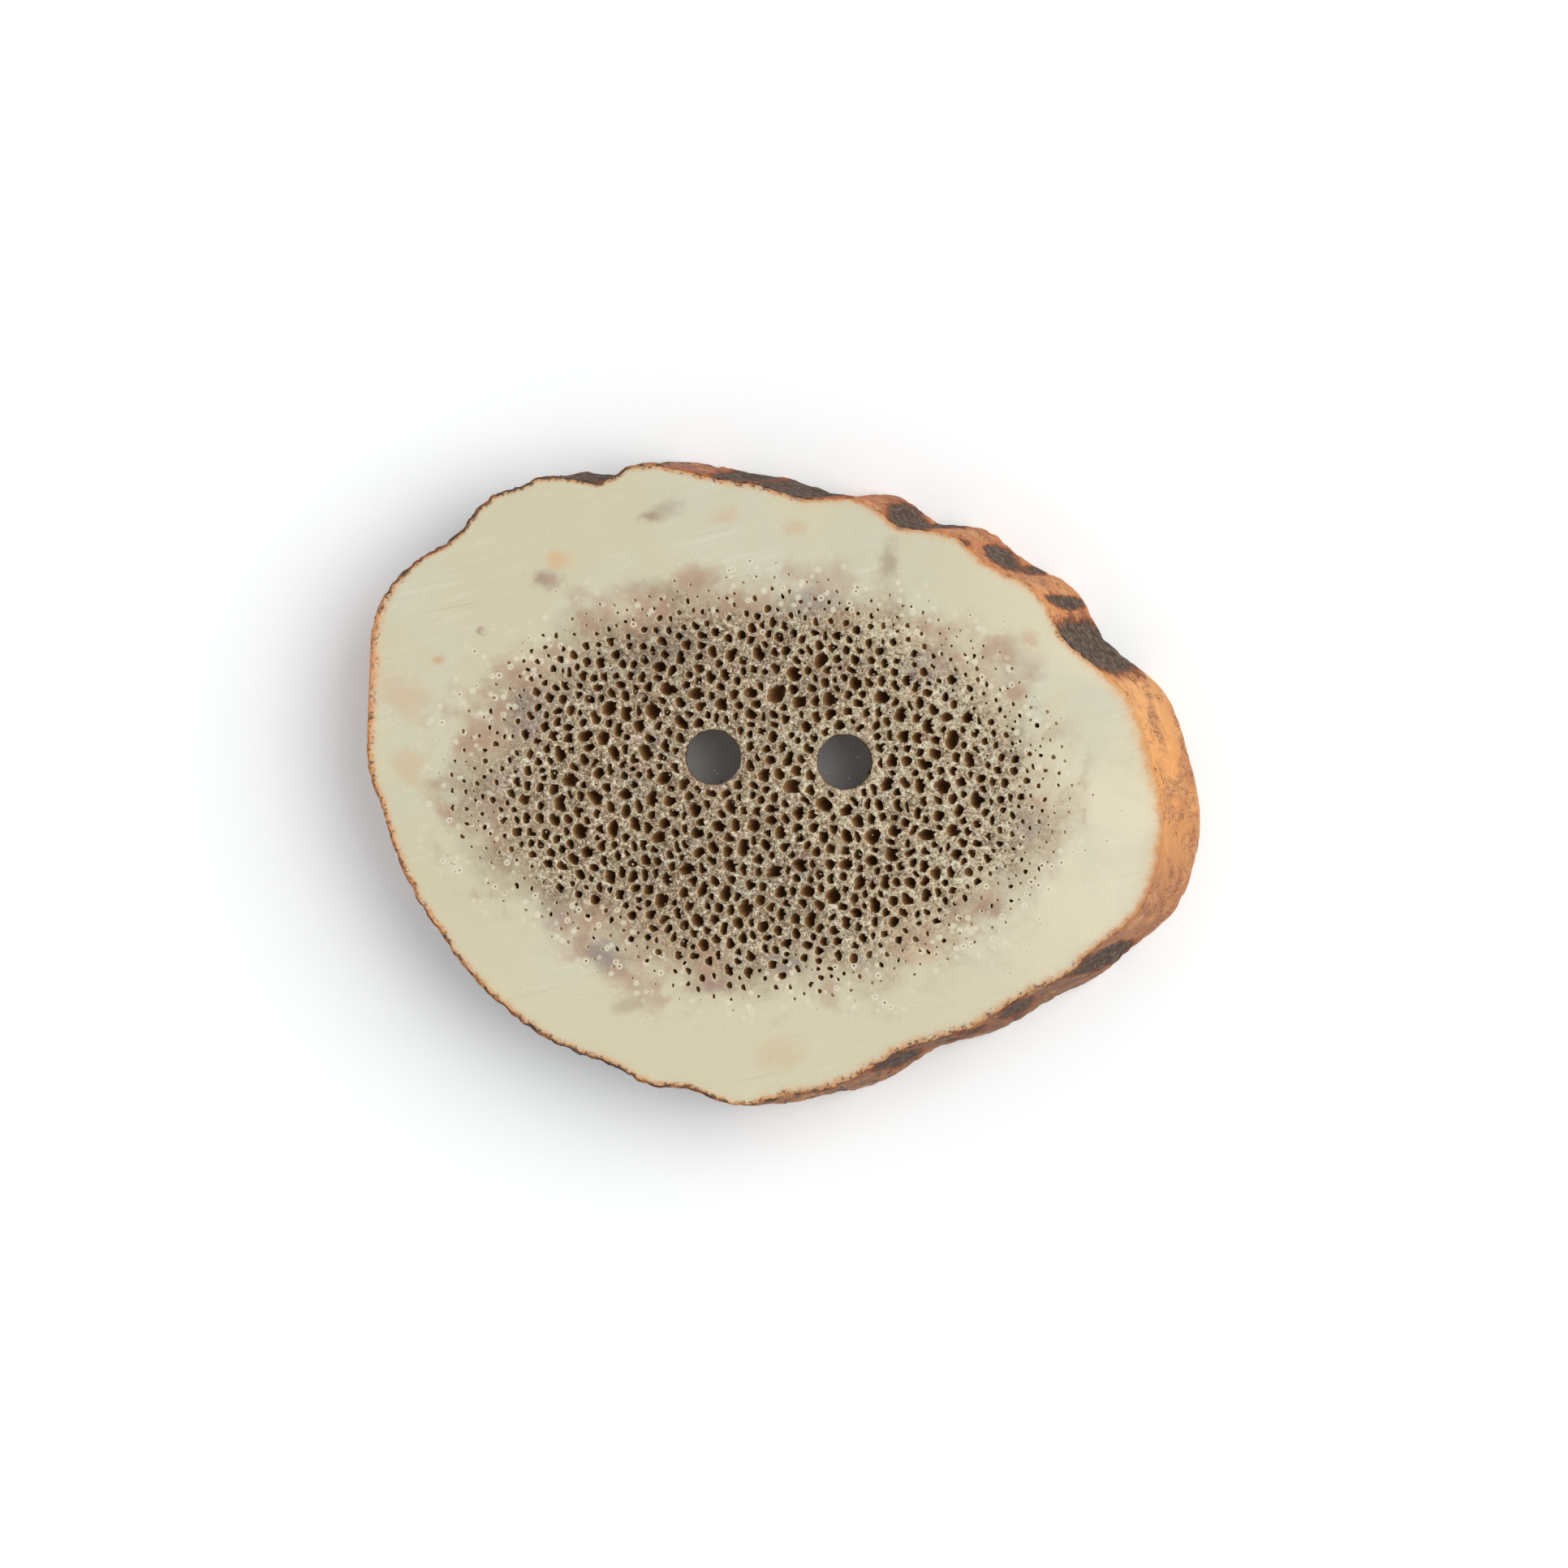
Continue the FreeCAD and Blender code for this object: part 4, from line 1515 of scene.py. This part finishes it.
@dataclass(frozen=True)
class Bark:
    """Natural outside of the antler: warm tan with specks, veins and dark hollows.

    Attributes:
        velvet: dark tone of the hollows and of the bits of crust
        velvet_pale: paler threads in the hollows
        border: rusty border of the hollows
        speck: fine dark specks
        vein: thin veins and smudges
        dull: duller tone low down and in places
        glow: lighter tone in places
    """

    velvet: Colour = tone(74, 60, 52)
    velvet_pale: Colour = tone(120, 103, 90)
    border: Colour = tone(170, 96, 54)
    speck: Colour = tone(104, 58, 34)
    vein: Colour = tone(128, 78, 56)
    dull: Colour = tone(172, 116, 78)
    glow: Colour = tone(232, 178, 118)

    def build(self, effects: Effects) -> bpy.types.Material:
        """Make the material."""
        material, board = new_material("antler_bark")
        place = board.place()
        colour = board.attribute("bark_tone").outputs["Color"]
        parts = board.axes(place)
        colour = board.mix(board.steps(parts["Z"], 2.6, 0.4, 0.0, 0.35), colour,
                           self.dull)
        colour = board.mix(clouds(board, effects, place, 0.45, 0.48, 0.68, 0.7), colour,
                           self.dull)
        colour = board.mix(clouds(board, effects, place, 0.9, 0.48, 0.7, 0.45), colour,
                           self.glow)
        along = board.stretch(place, 0, (1.0, 1.0, 3.0))
        veins = board.noise(along, 0.9, 5.0, 0.7, 1.2)
        ridge = board.math("ABSOLUTE", board.math("SUBTRACT", veins, 0.5))
        thin = board.steps(ridge, 0.026, 0.004)
        where = clouds(board, effects, place, 0.45, 0.44, 0.6, 0.85)
        colour = board.mix(board.math("MULTIPLY", thin, where), colour, self.vein)
        fine = board.noise(place, 7.5, 3.0, 0.65)
        thick = board.steps(board.noise(place, 0.6, 4.0, 0.65), 0.5, 0.64)
        specks = board.math("MULTIPLY", board.steps(fine, 0.5, 0.6), thick)
        colour = board.mix(board.math("MULTIPLY", specks, 0.75), colour, self.speck)
        smudge = clouds(board, effects, along, 0.8, 0.57, 0.7, 0.65)
        colour = board.mix(smudge, colour, self.vein)
        crust = crust_bits(board, board.stretch(place, 0, (1.0, 1.0, 2.4)))
        colour = board.mix(board.math("MULTIPLY", crust, 0.9), colour, self.velvet)

        dark = board.attribute("patch").outputs["Fac"]
        hollow = board.attribute("hollow").outputs["Fac"]
        cloud = board.math("SUBTRACT", board.noise(place, 1.1, 8.0, 0.78, 0.8), 0.5)
        level = board.math("ADD", dark, board.math("MULTIPLY", cloud, 1.7))
        level = board.math("ADD", level, board.math("MULTIPLY", hollow, 0.12))
        colour = board.mix(board.steps(level, 0.25, 0.6, 0.0, 0.75), colour, self.border)
        threads = board.noise(place, 3.6, 5.0, 0.75)
        velvet = board.mix(board.steps(threads, 0.44, 0.62, 0.0, 0.9), self.velvet,
                           self.velvet_pale)
        colour = board.mix(board.steps(level, 0.42, 0.62, 0.0, 0.6), colour, self.speck)
        colour = board.mix(board.steps(level, 0.5, 0.8), colour, velvet)
        grain = board.group(effects.grain, Place=place, Scale=5.0, Pits=0.5)
        height = board.math("SUBTRACT", grain["Height"], board.math("MULTIPLY", specks, 0.4))
        rough = board.steps(level, 0.45, 0.65, 0.55, 0.85)
        board.surface(colour, rough, board.bump(height, 0.7, 0.07), 0.15)
        return material


@dataclass(frozen=True)
class BoreWall:
    """Drilled wall of a thread hole, cut through the pores.

    Attributes:
        thickness: thickness of the slice, in mm
        bone: tone of the drilled bone
        scorched: darker tone in places
        pit: tone of the pores that were cut
        mouth: paler tone close to the faces
    """

    thickness: float
    bone: Colour = tone(150, 118, 84)
    scorched: Colour = tone(84, 50, 28)
    pit: Colour = tone(44, 26, 14)
    mouth: Colour = tone(190, 170, 134)

    def build(self, effects: Effects) -> bpy.types.Material:
        """Make the material."""
        material, board = new_material("bore_wall")
        place = board.place()
        colour = board.mix(clouds(board, effects, place, 0.8, 0.35, 0.6, 0.8), self.bone,
                           self.scorched)
        pits = clouds(board, effects, place, 2.1, 0.54, 0.62, 0.9)
        colour = board.mix(pits, colour, self.pit)
        fresh = board.steps(depth_in(board, place, self.thickness), 0.16, 0.02, 0.0, 0.8)
        colour = board.mix(fresh, colour, self.mouth)
        grain = board.group(effects.grain, Place=place, Scale=4.0, Pits=0.5)
        height = board.math("SUBTRACT", grain["Height"], pits)
        board.surface(colour, 0.5, board.bump(height, 0.6, 0.08), 0.4)
        return material


@dataclass
class Studio:
    """Pale floor, soft light and the camera, looking straight down.

    Attributes:
        slice_top: height of the front face, in mm
        floor_half: half the width of the floor, in metres
        white: colour of the floor
        lift: how much paler the floor looks than its light alone makes it
        lift_tint: colour of that, a little cool beside the warm bark
        lift_from: distances from the button's middle where it begins and is full, in mm
        fill: light that comes from all round
        key: light that comes from the soft lamp, on a level surface
        fill_tint: the fill is a little cool, so that the shadow stays grey beside warm bark
        key_tint: the lamp makes up for it
        key_turn: direction of the lamp, in degrees from +X towards +Y
        key_height: its height above the floor, in degrees
        key_spread: how wide it looks from the button, in degrees
        view_across: place of the camera along X, in mm
        view_up: place of the camera along Y, in mm
        view_turn: turn of the picture, in degrees
        view_width: width of what the picture shows at the front face, in mm
        view_distance: distance of the camera from the front face, in mm
        sensor: width of the camera's sensor, in mm
    """

    slice_top: float
    floor_half: float = 1.0
    white: float = 1.0
    lift: float = 0.06
    lift_tint: Colour = (0.65, 1.0, 1.1, 1.0)
    lift_from: tuple[float, float] = (7.0, 10.0)
    fill: float = 0.60
    key: float = 0.40
    key_turn: float = 18.0
    key_height: float = 48.0
    key_spread: float = 64.0
    fill_tint: Colour = (0.965, 0.994, 1.025, 1.0)
    key_tint: tuple[float, float, float] = (1.052, 1.008, 0.963)
    view_across: float = 0.272
    view_up: float = -1.106
    view_turn: float = 2.0
    view_width: float = 71.56
    view_distance: float = 900.0
    sensor: float = 36.0

    def build(self) -> None:
        """Set up the floor, the lights and the camera."""
        scene = bpy.context.scene
        scene.view_settings.view_transform = "Standard"
        self._floor()
        self._lights(scene)
        self._camera(scene)

    def _floor(self) -> None:
        """Level white floor at the back face."""
        mesh = bmesh.new()
        bmesh.ops.create_grid(mesh, x_segments=1, y_segments=1, size=self.floor_half)
        data = bpy.data.meshes.new("floor")
        mesh.to_mesh(data)
        mesh.free()
        floor = bpy.data.objects.new("floor", data)
        bpy.context.scene.collection.objects.link(floor)
        material, board = new_material("white_floor")
        board.surface((self.white, self.white, self.white, 1.0), 0.9, None, 0.0)
        shader = material.node_tree.nodes["Principled BSDF"]
        shader.inputs["Emission Color"].default_value = self.lift_tint
        from_middle = board.node("ShaderNodeVectorMath", operation="LENGTH")
        board.feed(from_middle.inputs[0], board.place())
        seen = board.node("ShaderNodeLightPath").outputs["Is Camera Ray"]
        lift = board.steps(from_middle.outputs["Value"], *self.lift_from, 0.0, self.lift)
        board.feed(shader.inputs["Emission Strength"], board.math("MULTIPLY", seen, lift))
        data.materials.append(material)

    def _lights(self, scene: bpy.types.Scene) -> None:
        """Even light from all round, and a broad soft key light."""
        world = bpy.data.worlds.new("studio")
        world.use_nodes = True
        scene.world = world
        board = Board(world.node_tree)
        path = board.node("ShaderNodeLightPath")
        seen = board.math("MAXIMUM", path.outputs["Is Camera Ray"], path.outputs["Is Glossy Ray"])
        seen = board.math("MAXIMUM", seen, path.outputs["Is Transmission Ray"])
        background = board.node("ShaderNodeBackground")
        board.feed(background.inputs["Strength"],
                   board.math("ADD", board.math("MULTIPLY", seen, 1 - self.fill), self.fill))
        tint = board.mix(seen, self.fill_tint, (1, 1, 1, 1))
        board.feed(background.inputs["Color"], tint)
        output = board.node("ShaderNodeOutputWorld")
        world.node_tree.links.new(background.outputs[0], output.inputs["Surface"])

        lamp = bpy.data.lights.new("key", "SUN")
        lamp.angle = math.radians(self.key_spread)
        lamp.color = self.key_tint
        lamp.energy = self.key * math.pi / math.sin(math.radians(self.key_height))
        key = bpy.data.objects.new("key", lamp)
        turn, rise = math.radians(self.key_turn), math.radians(self.key_height)
        towards = Vector((math.cos(rise) * math.cos(turn), math.cos(rise) * math.sin(turn),
                          math.sin(rise)))
        key.rotation_euler = towards.to_track_quat("Z", "Y").to_euler()
        key.location = towards
        scene.collection.objects.link(key)

    def _camera(self, scene: bpy.types.Scene) -> None:
        """Long lens straight above the button."""
        data = bpy.data.cameras.new("camera")
        data.sensor_width = self.sensor
        data.lens = self.sensor * self.view_distance / self.view_width
        data.clip_start = 0.01
        data.clip_end = 10
        camera = bpy.data.objects.new("camera", data)
        camera.location = Vector((self.view_across, self.view_up,
                                  self.slice_top + self.view_distance)) * MM
        camera.rotation_euler = (0, 0, math.radians(self.view_turn))
        scene.collection.objects.link(camera)
        scene.camera = camera


def read_bores() -> list[tuple[np.ndarray, float]]:
    """Middle and radius of each thread hole, in mm, from the record's mounts."""
    return [
        (np.array(mount["pos_m"][:2]) / MM, mount["dims"]["r_mm"])
        for mount in frame["record"]["mounts"] if mount["kind"] == "bore"
    ]


def main() -> None:
    """Build the button, dress it and set up the studio."""
    logging.basicConfig(level=logging.INFO, format="%(name)s: %(message)s")
    solid = SolidSlice(frame["nodes"][NODE], read_bores())
    button = AntlerSlice(solid)
    piece = button.build()

    effects = Effects(make_mottling(), make_stain(), make_grain())
    core_middle, core_half = solid.core(Side.FRONT)
    finishes = {
        Slot.SAWN: SawnBone(tuple(core_middle), tuple(core_half), solid.thickness),
        Slot.PORE: PoreLining(solid.thickness),
        Slot.BARK: Bark(),
        Slot.BORE: BoreWall(solid.thickness),
    }
    for slot in Slot:
        piece.data.materials.append(finishes[slot].build(effects))
    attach(piece, BODY)
    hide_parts(NODE)
    Studio(solid.thickness).build()
    LOG.info("%s rides on %s and stands for %s", piece.name, BODY, NODE)


if __name__ == "__main__":
    main()
